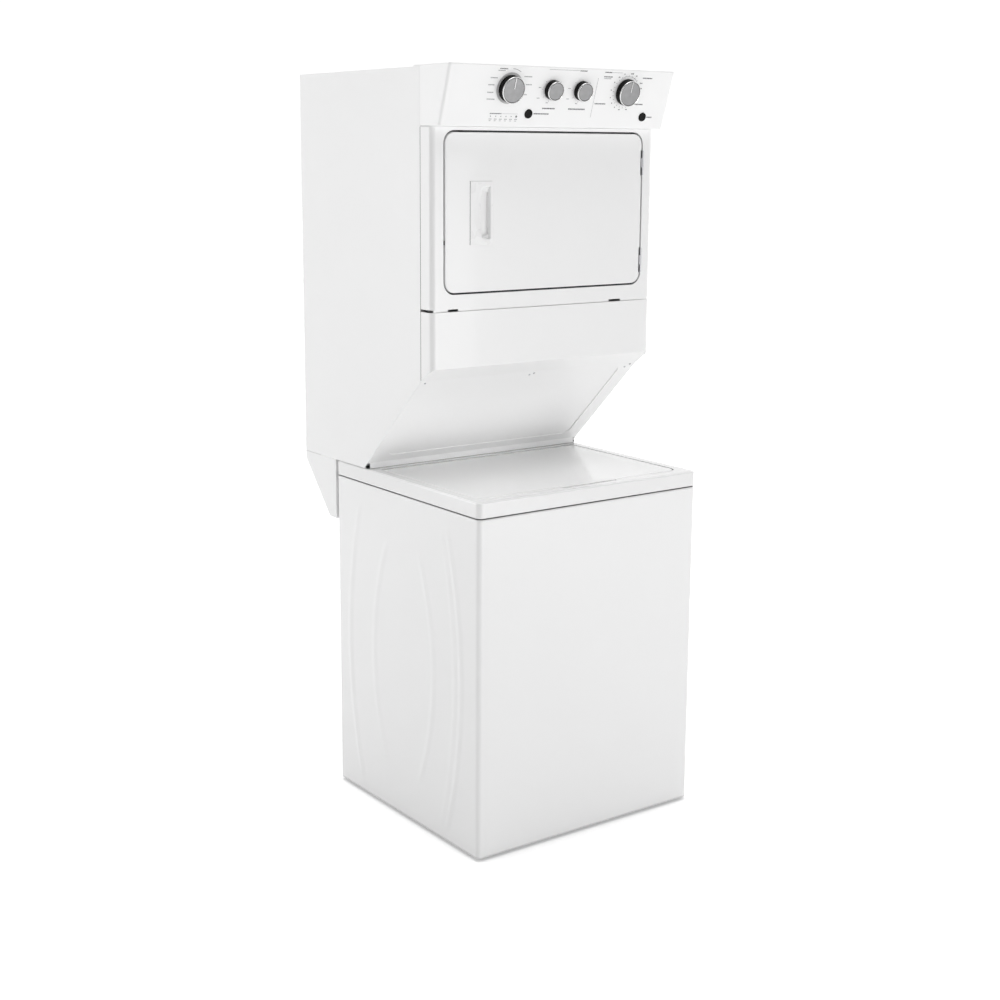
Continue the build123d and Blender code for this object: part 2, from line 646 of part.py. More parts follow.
# ---------------------------------------------------------------- stacking frame
def make_rear_supports():
    """Two channel brackets behind the washer that carry the dryer's rear corners."""
    y0 = WASHER_BACK + 3.5
    outer = [(y0, 742), (y0 + 35, 743), (BACK, 885), (BACK, DECK_TOP - 0.2), (y0, DECK_TOP - 0.2)]
    t = 1.6
    inner = [(y0 + t, 700), (y0 + 35 - t, 743 + 1.2 * t), (BACK - t, 885 + t / 2), (BACK - t, 950), (y0 + t, 950)]
    pieces = []
    for sx in (-1, 1):
        x_out = sx * HALF_W
        x_in = sx * (HALF_W - 46)
        x_skin = sx * (HALF_W - t)
        x_past = sx * (HALF_W - 50)
        shell = prism_x(outer, min(x_out, x_in), max(x_out, x_in))
        shell -= prism_x(inner, min(x_skin, x_past), max(x_skin, x_past))
        shell += block(min(x_skin, x_in), max(x_skin, x_in), y0, y0 + t + 1, 744, DECK_TOP - 0.2)
        pieces.append(shell.solid())
    return Compound(pieces)


# ---------------------------------------------------------------- dryer cabinet parts
def make_side_panel(sx):
    outline = [(SIDE_FRONT + GAP, SLOPE_TOP_Z), (SLOPE_FOOT_Y, SLOPE_FOOT_Z), (SLOPE_FOOT_Y, SIDE_BOTTOM),
               (BACK, SIDE_BOTTOM), (BACK, DRYER_TOP), (SIDE_FRONT + GAP, DRYER_TOP)]
    x_out = sx * HALF_W
    x_in = sx * (HALF_W - SHEET)
    x_flange = sx * (HALF_W - 16)
    panel = prism_x(outline, min(x_out, x_in), max(x_out, x_in))
    front = block(min(x_out, x_flange), max(x_out, x_flange), SIDE_FRONT + GAP, SIDE_FRONT + GAP + SHEET,
                  SLOPE_TOP_Z + 16, CONSOLE_BOTTOM_Z - 4)
    return panel + front


def make_top_panel():
    x = HALF_W - SHEET - GAP
    y0 = CONSOLE_BACK_Y + GAP
    y1 = BACK - SHEET - GAP
    t = SHEET
    plate = block(-x, x, y0, y1, DRYER_TOP - t, DRYER_TOP)
    skirt = block(-x, x, y0, y1, DRYER_TOP - 22, DRYER_TOP)
    skirt -= block(-x + t, x - t, y0 + t, y1 - t, 0, DRYER_TOP - t)
    return plate + skirt


def make_back_panel():
    x = HALF_W - SHEET - GAP
    y1 = BACK
    y0 = BACK - SHEET
    panel = block(-x, x, y0, y1, SIDE_BOTTOM + 0.5, DRYER_TOP)
    px0 = EXHAUST_X - POCKET_HALF
    px1 = EXHAUST_X + POCKET_HALF
    pz0 = EXHAUST_Z - POCKET_HALF + 6
    pz1 = EXHAUST_Z + POCKET_HALF
    pocket = block(px0, px1, y1 - POCKET_DEPTH, y1, pz0, pz1)
    panel += pocket
    panel -= block(px0 + SHEET, px1 - SHEET, y1 - POCKET_DEPTH + SHEET, y1 + 1, pz0 + SHEET, pz1 - SHEET)
    panel -= rod_y(EXHAUST_X, EXHAUST_Z, y1 - POCKET_DEPTH - 1, y1 + 1, EXHAUST_R + 1)
    for row in range(6):
        for col in range(9):
            slot = block(-276 + 24 * col, -262 + 24 * col, y0 - 1, y1 + 1, 1500 + 22 * row, 1504 + 22 * row)
            panel -= slot
    panel -= block(214, 286, y0 - 1, y1 + 1, 1636, 1744)
    for sx in (-1, 1):
        for z in BACK_SCREW_ZS:
            panel -= rod_y(sx * 334, z, y0 - 1, y1 + 1, 2.3)
    return panel


def wrap_profile(t):
    """Plan outline of a front panel that wraps round to the side panels."""
    outer = Pos(0, PANEL_FRONT + 40) * RectangleRounded(WIDTH, 80, PANEL_CORNER)
    inner = Pos(0, PANEL_FRONT + 40) * RectangleRounded(WIDTH - 2 * t, 80 - 2 * t, PANEL_CORNER - t)
    cut = Pos(0, SIDE_FRONT - GAP + 100) * Rectangle(WIDTH + 10, 200)
    return outer - inner - cut


def make_front_panel():
    t = SHEET
    panel = Pos(0, 0, FRONT_BOTTOM) * extrude(wrap_profile(t), FRONT_TOP - FRONT_BOTTOM)
    x = HALF_W - t / 2
    for z0 in (FRONT_BOTTOM, FRONT_TOP - t):
        flange = slab_z(-x, x, PANEL_FRONT + t / 2, PANEL_FRONT + 60, z0, z0 + t, PANEL_CORNER - t)
        flange -= block(-400, 400, PANEL_FRONT + 16, 0, 0, 3000)
        panel += flange
    hook_y = PANEL_FRONT + HOOK_SETBACK
    for x0, x1 in HOOK_SPANS:
        panel += block(x0, x1, hook_y, hook_y + t, ACCESS_TOP + HOOK_CLEAR, FRONT_BOTTOM + t)
    cup = slab_y(DOOR_OPEN_HALF_W + t, DOOR_OPEN_HALF_H + t, DOOR_Z, PANEL_FRONT + t / 2, FLANGE_Y + t,
                 DOOR_OPEN_CORNER + t)
    panel += cup
    panel -= slab_y(DOOR_OPEN_HALF_W, DOOR_OPEN_HALF_H, DOOR_Z, PANEL_FRONT - 5, FLANGE_Y, DOOR_OPEN_CORNER)
    panel -= slab_y(DOOR_OPEN_HALF_W - FLANGE_W, DOOR_OPEN_HALF_H - FLANGE_W, DOOR_Z, PANEL_FRONT - 5,
                    FLANGE_Y + 10, THROAT_CORNER)
    return panel


def make_access_panel():
    t = SHEET
    low = SLOPE_TOP_Z - 3
    panel = Pos(0, 0, low) * extrude(wrap_profile(t), ACCESS_TOP - low)
    x = HALF_W - t / 2
    top = slab_z(-x, x, PANEL_FRONT + t / 2, PANEL_FRONT + 60, ACCESS_TOP - t, ACCESS_TOP, PANEL_CORNER - t)
    top -= block(-400, 400, PANEL_FRONT + 16, 0, 0, 3000)
    panel += top
    y0 = PANEL_FRONT
    y1 = SIDE_FRONT - GAP
    z0 = ACCESS_EDGE_Z
    z1 = SLOPE_TOP_Z
    panel -= prism_x([(y0 - 5, z0 + 3.5), (y1 + 5, z1 - 3.5), (y1 + 5, 1000), (y0 - 5, 1000)], -400, 400)
    closing = prism_x([(y0 + 1, z0), (y1, z1), (y1, z1 + t), (y0 + 1, z0 + t)], -x, x)
    closing &= slab_z(-HALF_W, HALF_W, PANEL_FRONT, PANEL_FRONT + 80, 1000, 1400, PANEL_CORNER)
    return panel + closing


def make_sloped_panel():
    """Sloped underside over the washer's lid: a shallow pressed field and an upright lip at its foot."""
    x = HALF_W - SHEET - GAP
    t = SHEET
    y0 = SIDE_FRONT + GAP
    y1 = slope_y(SLOPE_LIP_TOP)
    skin = prism_x(slope_strip(y0, y1, t), -x, x)
    skin = press_field(skin, y0, y1, x)
    lip_x = x - SLOPE_LIP_END
    skin += block(-lip_x, lip_x, y1 - t, y1, SIDE_BOTTOM, SLOPE_LIP_TOP + t)
    for sx in (-1, 1):
        x_out = sx * x
        x_in = sx * (x - t)
        skin += prism_x(slope_strip(y0, y1, 12), min(x_out, x_in), max(x_out, x_in))
    return skin


def slope_strip(y0, y1, rise):
    """Side outline of a strip that lies on the slope and is rise mm high."""
    return [(y0, slope_z(y0)), (y1, slope_z(y1)), (y1, slope_z(y1) + rise), (y0, slope_z(y0) + rise)]


def press_field(skin, y0, y1, x):
    """Push a rounded field of the sloped skin inwards."""
    t = SHEET
    angle = math.atan2(SLOPE_TOP_Z - SLOPE_FOOT_Z, SLOPE_FOOT_Y - SIDE_FRONT)
    length = math.hypot(y1 - y0, slope_z(y0) - slope_z(y1))
    w = 2 * (x - EMBOSS_SIDE)
    h = length - EMBOSS_HEAD - EMBOSS_FOOT
    along = (EMBOSS_HEAD + h / 2) / length
    y_mid = y0 + along * (y1 - y0)
    face = Plane(origin=(0, y_mid, slope_z(y_mid)), x_dir=(1, 0, 0),
                 z_dir=(0, -math.sin(angle), -math.cos(angle)))
    field = face.offset(-EMBOSS_DEPTH) * RectangleRounded(w, h, EMBOSS_CORNER)
    backing = face.offset(-EMBOSS_DEPTH - t) * RectangleRounded(w + 2 * t, h + 2 * t, EMBOSS_CORNER + t)
    skin += extrude(backing, EMBOSS_DEPTH + t, dir=tuple(face.z_dir))
    return skin - extrude(field, EMBOSS_DEPTH + 2, dir=tuple(face.z_dir))


def make_base_pan():
    """Floor of the dryer behind the sloped panel, with cradles for motor and blower."""
    x = HALF_W - SHEET - GAP
    y0 = SLOPE_FOOT_Y + GAP
    y1 = BACK - SHEET - GAP
    pan = block(-x, x, y0, y1, PAN_Z, PAN_Z + 2)
    pan += block(-x, x, y0, y0 + 2, PAN_Z, PAN_Z + 20)
    pan -= block(EXHAUST_X - POCKET_HALF - 2, EXHAUST_X + POCKET_HALF + 2, y1 - POCKET_DEPTH - 2, y1 + 1,
                 0, 3000)
    for y in (DMOTOR_Y0 + 20, DMOTOR_Y1 - 34):
        leg = block(DMOTOR_X - 48, DMOTOR_X + 48, y, y + 14, PAN_Z, DMOTOR_Z - 30)
        leg -= rod_y(DMOTOR_X, DMOTOR_Z, y - 1, y + 15, DMOTOR_R + GAP)
        leg -= block(DMOTOR_X - 34, DMOTOR_X + 34, y - 1, y + 15, PAN_Z + 30, DMOTOR_Z - 90)
        pan += leg
    pan += block(IDLER_X - 16, IDLER_X + 16, BELT_Y + 22, BELT_Y + 26, PAN_Z, IDLER_Z + 12)
    pan += rod_y(IDLER_X, IDLER_Z, BELT_Y - 8, BELT_Y + 24, 5)
    return pan


def make_front_bulkhead():
    t = 1.5
    x = BULKHEAD_HALF_W
    plate = block(-x, x, BULKHEAD_Y, BULKHEAD_Y + t, LINT_DUCT_BOTTOM, 1896)
    mouth = slab_y(THROAT_HALF_W + t, THROAT_HALF_H + t, DOOR_Z, FLANGE_Y + SHEET + GAP, BULKHEAD_Y + t,
                   THROAT_CORNER + t)
    mouth -= slab_y(THROAT_HALF_W, THROAT_HALF_H, DOOR_Z, FLANGE_Y - 20, BULKHEAD_Y, THROAT_CORNER)
    duct = block(-LINT_HALF_W - 6, LINT_HALF_W + 6, LINT_Y0 - 5, BULKHEAD_Y + 0.5, LINT_DUCT_BOTTOM,
                 DOOR_Z - THROAT_HALF_H)
    duct -= block(-LINT_HALF_W - 4, LINT_HALF_W + 4, LINT_Y0 - 3, BULKHEAD_Y - 2, LINT_DUCT_BOTTOM + 2, 1500)
    body = plate + mouth + duct
    hole = rod_y(0, DRUM_Z, BULKHEAD_Y - 1, BULKHEAD_Y + 5, BULKHEAD_HOLE_R)
    hole &= block(-300, 300, -300, 0, DOOR_Z - THROAT_HALF_H + 12, DOOR_Z + THROAT_HALF_H)
    body -= hole
    body -= block(-LINT_HALF_W - 2, LINT_HALF_W + 2, LINT_Y0 - 2, LINT_Y1 + 2, 1300, DOOR_Z - 120)
    body -= block(-AIR_DUCT_HALF_W + 3, AIR_DUCT_HALF_W - 3, BULKHEAD_Y - 3, BULKHEAD_Y + 5, AIR_DUCT_Z0 + 3,
                  AIR_DUCT_Z1 - 3)
    for angle in range(-60, 61, 30):
        for side in (90, -90):
            a = math.radians(angle + side)
            pad = rod_y((BULKHEAD_HOLE_R + 5) * math.sin(a), DRUM_Z + (BULKHEAD_HOLE_R + 5) * math.cos(a),
                        BULKHEAD_Y + 1, DRUM_FRONT + 6, 4)
            body += pad
    return body


def make_rear_bulkhead():
    t = 1.5
    y = REAR_BULKHEAD_Y
    plate = slab_y(336, 320, 1573, y, y + t, 20)
    ring = spun_y([(DRUM_REAR_LIP_R - 8, y + 0.5), (DRUM_REAR_LIP_R - 8, y - 14), (DRUM_REAR_LIP_R - 10, y - 14),
                   (DRUM_REAR_LIP_R - 10, y + 0.5)], 0, DRUM_Z)
    body = plate + ring
    for row in range(5):
        for col in range(7):
            body -= rod_y(-150 + 24 * col, DRUM_Z + 40 + 24 * row, y - 1, y + 3, 5)
    body -= slab_y(70, 36, DRUM_Z - 130, y - 1, y + 3, 30)
    for sx in (-1, 1):
        rx, rz = roller_place(sx)
        body += rod_y(rx, rz, ROLLER_Y - 6, y + 0.5, AXLE_R)
        body += rod_y(rx, rz, ROLLER_Y + ROLLER_W + 2, y + 0.5, 14)
    return body


def roller_place(sx):
    reach = DRUM_R + ROLLER_R + GAP
    a = math.radians(ROLLER_ANGLE)
    return sx * reach * math.sin(a), DRUM_Z - reach * math.cos(a)


def make_drum():
    t = DRUM_WALL
    return spun_y([(DRUM_LIP_R, DRUM_FRONT), (DRUM_R - 10, DRUM_FRONT), (DRUM_R, DRUM_FRONT + 10),
                   (DRUM_R, DRUM_BACK - 6), (DRUM_R - 6, DRUM_BACK), (DRUM_REAR_LIP_R, DRUM_BACK),
                   (DRUM_REAR_LIP_R, DRUM_BACK - t), (DRUM_R - 6 - t / 2, DRUM_BACK - t),
                   (DRUM_R - t, DRUM_BACK - 6 - t / 2), (DRUM_R - t, DRUM_FRONT + 10 + t / 2),
                   (DRUM_R - 10 - t / 2, DRUM_FRONT + t), (DRUM_LIP_R, DRUM_FRONT + t)], 0, DRUM_Z)


def make_baffles():
    pieces = []
    r = DRUM_R - DRUM_WALL - GAP
    foot = math.sqrt(r * r - BAFFLE_W * BAFFLE_W / 4)
    outline = Polyline((-BAFFLE_W / 2, foot), (-10, foot - BAFFLE_H + 8), (-4, foot - BAFFLE_H),
                       (4, foot - BAFFLE_H), (10, foot - BAFFLE_H + 8), (BAFFLE_W / 2, foot), close=True)
    face = Plane(origin=(0, DRUM_BACK - 40, DRUM_Z), x_dir=(1, 0, 0), z_dir=(0, -1, 0)) * make_face(outline)
    one = extrude(face, DRUM_BACK - 40 - (DRUM_FRONT + 60))
    one -= Pos(0, -4, 0) * extrude(offset(face, -2.5), DRUM_BACK - 40 - (DRUM_FRONT + 60) - 8)
    for i in range(BAFFLE_COUNT):
        turn = Pos(0, 0, DRUM_Z) * Rot(0, 360 / BAFFLE_COUNT * i + 60, 0) * Pos(0, 0, -DRUM_Z)
        pieces.append((turn * one).solid())
    return Compound(pieces)


def make_roller(sx):
    rx, rz = roller_place(sx)
    y0 = ROLLER_Y
    y1 = ROLLER_Y + ROLLER_W
    b = AXLE_R + RUNNING_FIT
    return spun_y([(b, y0 - 1), (12, y0 - 1), (14, y0 + 4), (ROLLER_R - 8, y0 + 4), (ROLLER_R - 6, y0),
                   (ROLLER_R, y0 + 1), (ROLLER_R, y1 - 1), (ROLLER_R - 6, y1), (ROLLER_R - 8, y1 - 4),
                   (14, y1 - 4), (12, y1 + 1), (b, y1 + 1)], rx, rz)


def make_drum_belt():
    circles = [(0, DRUM_Z, DRUM_R), (DMOTOR_X, DMOTOR_Z, DPULLEY_R), (IDLER_X, IDLER_Z, IDLER_R)]
    loop = belt_loop(circles, GAP, DRUM_BELT_T)
    upright = Plane(origin=(0, BELT_Y + DRUM_BELT_W, 0), x_dir=(1, 0, 0), z_dir=(0, -1, 0)) * loop
    return extrude(upright, DRUM_BELT_W)


def make_idler():
    y0 = BELT_Y - 2
    y1 = BELT_Y + DRUM_BELT_W + 2
    return spun_y([(5 + RUNNING_FIT, y0), (12, y0), (12, y0 + 3), (IDLER_R - 6, y0 + 3), (IDLER_R - 6, y0),
                   (IDLER_R, y0), (IDLER_R, y1), (IDLER_R - 6, y1), (IDLER_R - 6, y1 - 3), (12, y1 - 3),
                   (12, y1), (5 + RUNNING_FIT, y1)], IDLER_X, IDLER_Z)


def make_dryer_motor():
    x, z = DMOTOR_X, DMOTOR_Z
    body = spun_y([(9, DMOTOR_Y0), (DMOTOR_R - 14, DMOTOR_Y0), (DMOTOR_R, DMOTOR_Y0 + 14),
                   (DMOTOR_R, DMOTOR_Y1 - 14), (DMOTOR_R - 14, DMOTOR_Y1), (9, DMOTOR_Y1)], x, z)
    body += block(x + DMOTOR_R - 8, x + DMOTOR_R + 14, DMOTOR_Y0 + 40, DMOTOR_Y1 - 40, z - 18, z + 18)
    return body - rod_y(x, z, DMOTOR_Y0 - 1, DMOTOR_Y1 + 1, 6 + RUNNING_FIT)


def make_motor_shaft():
    shaft = rod_y(DMOTOR_X, DMOTOR_Z, BELT_Y - 6, BLOWER_Y1 - 4, 6)
    return shaft + rod_y(DMOTOR_X, DMOTOR_Z, BELT_Y - 4, BELT_Y + DRUM_BELT_W + 4, DPULLEY_R)


def make_blower_wheel():
    x, z = DMOTOR_X, DMOTOR_Z
    y0 = BLOWER_Y0 + 6
    y1 = BLOWER_Y1 - 8
    wheel = spun_y([(6 + 0.02, y0), (18, y0), (18, y1 - 3), (BLOWER_R, y1 - 3), (BLOWER_R, y1), (6 + 0.02, y1)],
                   x, z)
    wheel += spun_y([(BLOWER_R - 22, y0), (BLOWER_R, y0), (BLOWER_R, y0 + 2), (BLOWER_R - 22, y0 + 2)], x, z)
    for i in range(18):
        blade = block(BLOWER_R - 21, BLOWER_R - 3, y0 + 1, y1 - 1, -1, 1)
        wheel += Pos(x, 0, z) * Rot(0, 20 * i, 0) * blade
    return wheel


def make_blower_housing():
    x, z = DMOTOR_X, DMOTOR_Z
    y0, y1 = BLOWER_Y0, BLOWER_Y1
    r = BLOWER_CASE_R
    t = 2.0
    shell = rod_y(x, z, y0, y1, r)
    chute = block(x - r + 36, x + r - 36, y0, y1, EXHAUST_Z + EXHAUST_R - 24, z)
    low = block(x - EXHAUST_R - 6, x + EXHAUST_R + 6, y0, y1, EXHAUST_Z - EXHAUST_R - 4, EXHAUST_Z + 60)
    shell += chute + low
    inside = rod_y(x, z, y0 + t, y1 - t, r - t)
    inside += block(x - r + 36 + t, x + r - 36 - t, y0 + t, y1 - t, EXHAUST_Z, z)
    inside += block(x - EXHAUST_R - 6 + t, x + EXHAUST_R + 6 - t, y0 + t, y1 - t, EXHAUST_Z - EXHAUST_R - 4 + t,
                    EXHAUST_Z + 60)
    shell -= inside
    shell -= rod_y(x, EXHAUST_Z, y1 - 5, y1 + 1, EXHAUST_R - 1.5)
    shell += intake(t)
    shell -= rod_y(x, z, y0 - 1, y0 + t + 1, 56)
    shell -= rod_y(x, z, DMOTOR_Y1, y0, 8)
    return shell


def intake(t):
    """Air duct from the lint screen back to the blower's mouth."""
    x0, x1 = -AIR_DUCT_HALF_W, AIR_DUCT_HALF_W
    y0 = BULKHEAD_Y + 1.5 + GAP
    run = block(x0, x1, y0, BLOWER_Y0 + 0.5, AIR_DUCT_Z0, AIR_DUCT_Z1)
    drop = block(DMOTOR_X - 62, DMOTOR_X + 62, DMOTOR_Y1 + 2, BLOWER_Y0 + 0.5, DMOTOR_Z - 62, AIR_DUCT_Z1)
    inside = block(x0 + t, x1 - t, y0 - 1, BLOWER_Y0 - t, AIR_DUCT_Z0 + t, AIR_DUCT_Z1 - t)
    inside += block(DMOTOR_X - 62 + t, DMOTOR_X + 62 - t, DMOTOR_Y1 + 2 + t, BLOWER_Y0 - t, DMOTOR_Z - 62 + t,
                    AIR_DUCT_Z1 - t)
    return run + drop - inside


def make_exhaust_duct():
    y0 = BLOWER_Y1 + GAP
    r = EXHAUST_R
    return spun_y([(r - 1.2, y0), (r + 9, y0), (r + 9, y0 + 1.2), (r, y0 + 1.2), (r, BACK - 0.5),
                   (r - 1.2, BACK - 0.5)], EXHAUST_X, EXHAUST_Z)


def make_heater_box():
    """Sheet box beside the motor that warms the air on its way up the rear bulkhead."""
    box = block(-300, -150, 236, 400, 940, 1220)
    box -= block(-298, -152, 238, 398, 942, 1218)
    box -= block(-280, -170, 230, 240, 960, 1060)
    for z in range(1100, 1200, 24):
        box += rod_x(300, z, -299, -151, 3)
    return box


def make_lint_screen():
    y0, y1 = LINT_Y0, LINT_Y1
    frame = block(-LINT_HALF_W, LINT_HALF_W, y0, y1, LINT_BOTTOM, LINT_TOP)
    frame -= block(-LINT_HALF_W + 14, LINT_HALF_W - 14, y0 + 3, y1 + 1, LINT_BOTTOM + 14, LINT_TOP - 26)
    frame -= block(-60, 60, y0 - 1, y0 + 5, LINT_TOP - 18, LINT_TOP - 8)
    return frame


def make_terminal_block():
    y0 = REAR_BULKHEAD_Y + 2
    box = block(212, 288, y0, BACK - SHEET - GAP, 1632, 1748)
    box -= block(215, 285, y0 + 2, BACK, 1635, 1745)
    for z in (1660, 1690, 1720):
        box += rod_y(250, z, y0 + 1, y0 + 12, 8)
    return box


# ---------------------------------------------------------------- dryer door
def make_door_outer():
    t = 1.2
    pan = slab_y(DOOR_HALF_W, DOOR_HALF_H, DOOR_Z, DOOR_FRONT, DOOR_INNER_Y - GAP, DOOR_CORNER)
    pan = fillet(pan.edges().group_by(Axis.Y)[0], 2.5)
    pan -= slab_y(DOOR_HALF_W - t, DOOR_HALF_H - t, DOOR_Z, DOOR_FRONT + t, DOOR_INNER_Y + 5, DOOR_CORNER - t)
    pan -= block(HANDLE_X0 + 1, HANDLE_X1 - 1, DOOR_FRONT - 5, DOOR_FRONT + 5, HANDLE_Z0 + 1, HANDLE_Z1 - 1)
    for z in HINGE_ZS:
        pan -= hinge_notch(z)
    return pan


def hinge_notch(z):
    """Room for a hinge barrel in the door's right edge."""
    return block(HINGE_X - 6, HINGE_X + 6, DOOR_FRONT - 5, DOOR_FRONT + 7, z - HINGE_LEN / 2 - 1,
                 z + HINGE_LEN / 2 + 1)


def make_door_inner():
    t = 1.5
    w = DOOR_HALF_W - 1.5
    h = DOOR_HALF_H - 1.5
    panel = slab_y(w, h, DOOR_Z, DOOR_INNER_Y, DOOR_INNER_Y + t, DOOR_CORNER - 1.5)
    pw = THROAT_HALF_W - PLUG_CLEAR
    ph = THROAT_HALF_H - PLUG_CLEAR
    plug = slab_y(pw, ph, DOOR_Z, DOOR_INNER_Y, PLUG_Y, THROAT_CORNER - PLUG_CLEAR)
    plug = fillet(plug.edges().group_by(Axis.Y)[-1], 3)
    panel += plug
    panel -= slab_y(pw - t, ph - t, DOOR_Z, DOOR_INNER_Y - 1, PLUG_Y - t, THROAT_CORNER - PLUG_CLEAR - t)
    panel += slab_y(pw - 50, ph - 40, DOOR_Z, PLUG_Y - 2.5, PLUG_Y - 0.5, 30)
    return panel


def make_door_seal():
    y0 = DOOR_INNER_Y + 1.5 + GAP
    y1 = FLANGE_Y - GAP
    w = DOOR_OPEN_HALF_W - 9
    h = DOOR_OPEN_HALF_H - 9
    ring = slab_y(w, h, DOOR_Z, y0, y1, 24)
    return ring - slab_y(w - 9, h - 9, DOOR_Z, y0 - 1, y1 + 1, 18)


def make_handle():
    """Flush pull: a thin plate with a lens-shaped scoop that deepens towards a slot."""
    y0 = DOOR_FRONT - HANDLE_PROUD
    y1 = HANDLE_BACK
    plate = block(HANDLE_X0, HANDLE_X1, y0, DOOR_FRONT - GAP / 2, HANDLE_Z0, HANDLE_Z1)
    plate = fillet(plate.edges().group_by(Axis.Y)[0], 1.0)
    cup = block(HANDLE_X0 + 1.6, HANDLE_X1 - 1.6, y0 + 0.5, y1, HANDLE_Z0 + 1.6, HANDLE_Z1 - 1.6)
    body = plate + cup
    mid = (SCOOP_Z0 + SCOOP_Z1) / 2
    half = (SCOOP_Z1 - SCOOP_Z0) / 2
    x_left = HANDLE_X0 + 7
    x_right = HANDLE_X1 - 8
    lens = make_face([ThreePointArc((x_right - 20, y0 - 1, mid - half), (x_left, y0 - 1, mid),
                                    (x_right - 20, y0 - 1, mid + half)),
                      Line((x_right - 20, y0 - 1, mid + half), (x_right - 20, y0 - 1, mid - half))])
    shallow = extrude(lens, 9, dir=(0, 1, 0))
    deep = block(x_right - 24, x_right, y0 - 1, y1 - 2, mid - half + 12, mid + half - 12)
    return body - shallow - deep


def make_hinge_leaves():
    """Door half of the two hinges: a leaf inside the door and the barrel's middle part."""
    pieces = []
    for z in HINGE_ZS:
        barrel = post(HINGE_X, HINGE_Y, z - 12, z + 12, HINGE_BARREL_R)
        arm = block(HINGE_X - 5.3, HINGE_X, HINGE_Y - 1, HINGE_Y + 1, z - 12, z + 12)
        leaf = block(HINGE_X - 5.3, HINGE_X - 3.8, HINGE_Y - 1, DOOR_INNER_Y - 2, z - 12, z + 12)
        whole = barrel + arm + leaf - post(HINGE_X, HINGE_Y, z - 13, z + 13, HINGE_PIN_R + RUNNING_FIT)
        pieces.append(whole.solid())
    return Compound(pieces)


def make_hinge_pins():
    """Cabinet half of the two hinges: outer barrels, pin, and the leaf on the front panel's edge."""
    pieces = []
    for z in HINGE_ZS:
        half = HINGE_LEN / 2
        pin = post(HINGE_X, HINGE_Y, z - half, z + half, HINGE_PIN_R)
        for z0, z1 in ((z - half, z - 12.3), (z + 12.3, z + half)):
            pin += post(HINGE_X, HINGE_Y, z0, z1, HINGE_BARREL_R - 0.6)
            pin += block(HINGE_X, DOOR_OPEN_HALF_W - GAP, HINGE_Y + 0.5, HINGE_Y + 16, z0, z1)
        pieces.append(pin.solid())
    return Compound(pieces)


# ---------------------------------------------------------------- console parts
def console_front_y(z, inset):
    """Depth of the console's leaning face at height z, moved in by the inset."""
    lean = math.radians(TILT)
    return CONSOLE_BOTTOM_Y - (z - CONSOLE_BOTTOM_Z) * math.tan(lean) + inset / math.cos(lean)


def console_outline():
    """Side outline of the console as (Y, Z) points."""
    foot_y = SIDE_FRONT - GAP
    back_y = CONSOLE_BACK_Y - GAP
    step_z = DRYER_TOP + 0.4
    return [(CONSOLE_BOTTOM_Y, CONSOLE_BOTTOM_Z), (CONSOLE_TOP_Y, HEIGHT), (back_y, HEIGHT),
            (back_y, step_z), (foot_y, step_z), (foot_y, CONSOLE_BOTTOM_Z)]


def make_console_panel():
    """One moulding: leaning face, closed ends, softly rounded front corners."""
    t = CONSOLE_WALL
    shell = prism_x(console_outline(), -HALF_W, HALF_W)
    front = shell.faces().sort_by(Axis.Y)[0]
    shell = fillet(front.edges().filter_by(Axis.X, reverse=True), CONSOLE_CORNER)
    front = shell.faces().sort_by(Axis.Y)[0]
    shell = fillet(front.edges().filter_by(Axis.X), CONSOLE_EDGE)
    z0 = CONSOLE_BOTTOM_Z + t
    z1 = HEIGHT - t
    x_in = HALF_W - CONSOLE_END_WALL
    shell -= prism_x([(console_front_y(z0, t), z0), (console_front_y(z1, t), z1), (0, z1), (0, z0)], -x_in, x_in)
    for kx, up, r, h in KNOBS.values():
        shell -= on_console(kx, up, 0, post(0, 0, -20, 5, KNOB_HOLE_R))
    for bx, up in BUTTONS.values():
        shell -= on_console(bx, up, 0, post(0, 0, -20, 5, BUTTON_R + BUTTON_CLEAR))
    return shell


def make_knob(x, up, r, h):
    body = post(0, 0, KNOB_LIFT, h - 1.5, r)
    body = fillet(body.edges().group_by(Axis.Z)[-1], 0.8)
    body += post(0, 0, h - 1.6, h - 0.6, r - 1.5)
    body -= post(0, 0, KNOB_LIFT - 1, h - 6, r - 2.5)
    body += post(0, 0, -14, h - 4, KNOB_SHAFT_R)
    return on_console(x, up, 0, body)


def make_button(x, up):
    cap = post(0, 0, -9, BUTTON_PROUD, BUTTON_R)
    cap = fillet(cap.edges().group_by(Axis.Z)[-1], 1.2)
    cap += post(0, 0, -9, -6.5, BUTTON_R + 2)
    return on_console(x, up, 0, cap)


def make_screws():
    """Panel screws on both back panels."""
    pieces = []
    for sx in (-1, 1):
        for z in BACK_SCREW_ZS:
            pieces.append(screw_y(sx * 334, z, BACK - SHEET))
        for z in ACCESS_SCREW_ZS:
            pieces.append(screw_y(sx * 268, z, WASHER_BACK + GAP + SHEET))
    return Compound(pieces)


def screw_y(x, z, y):
    """Pan-head screw whose head sits behind the plane Y = y."""
    head = rod_y(x, z, y - 2.2, y - GAP, 4.5)
    if y < WASHER_BACK + 10:
        head = rod_y(x, z, y + GAP, y + 2.4, 4.5)
    return (head + rod_y(x, z, y - 8, y + 0.9, 2.0)).solid()


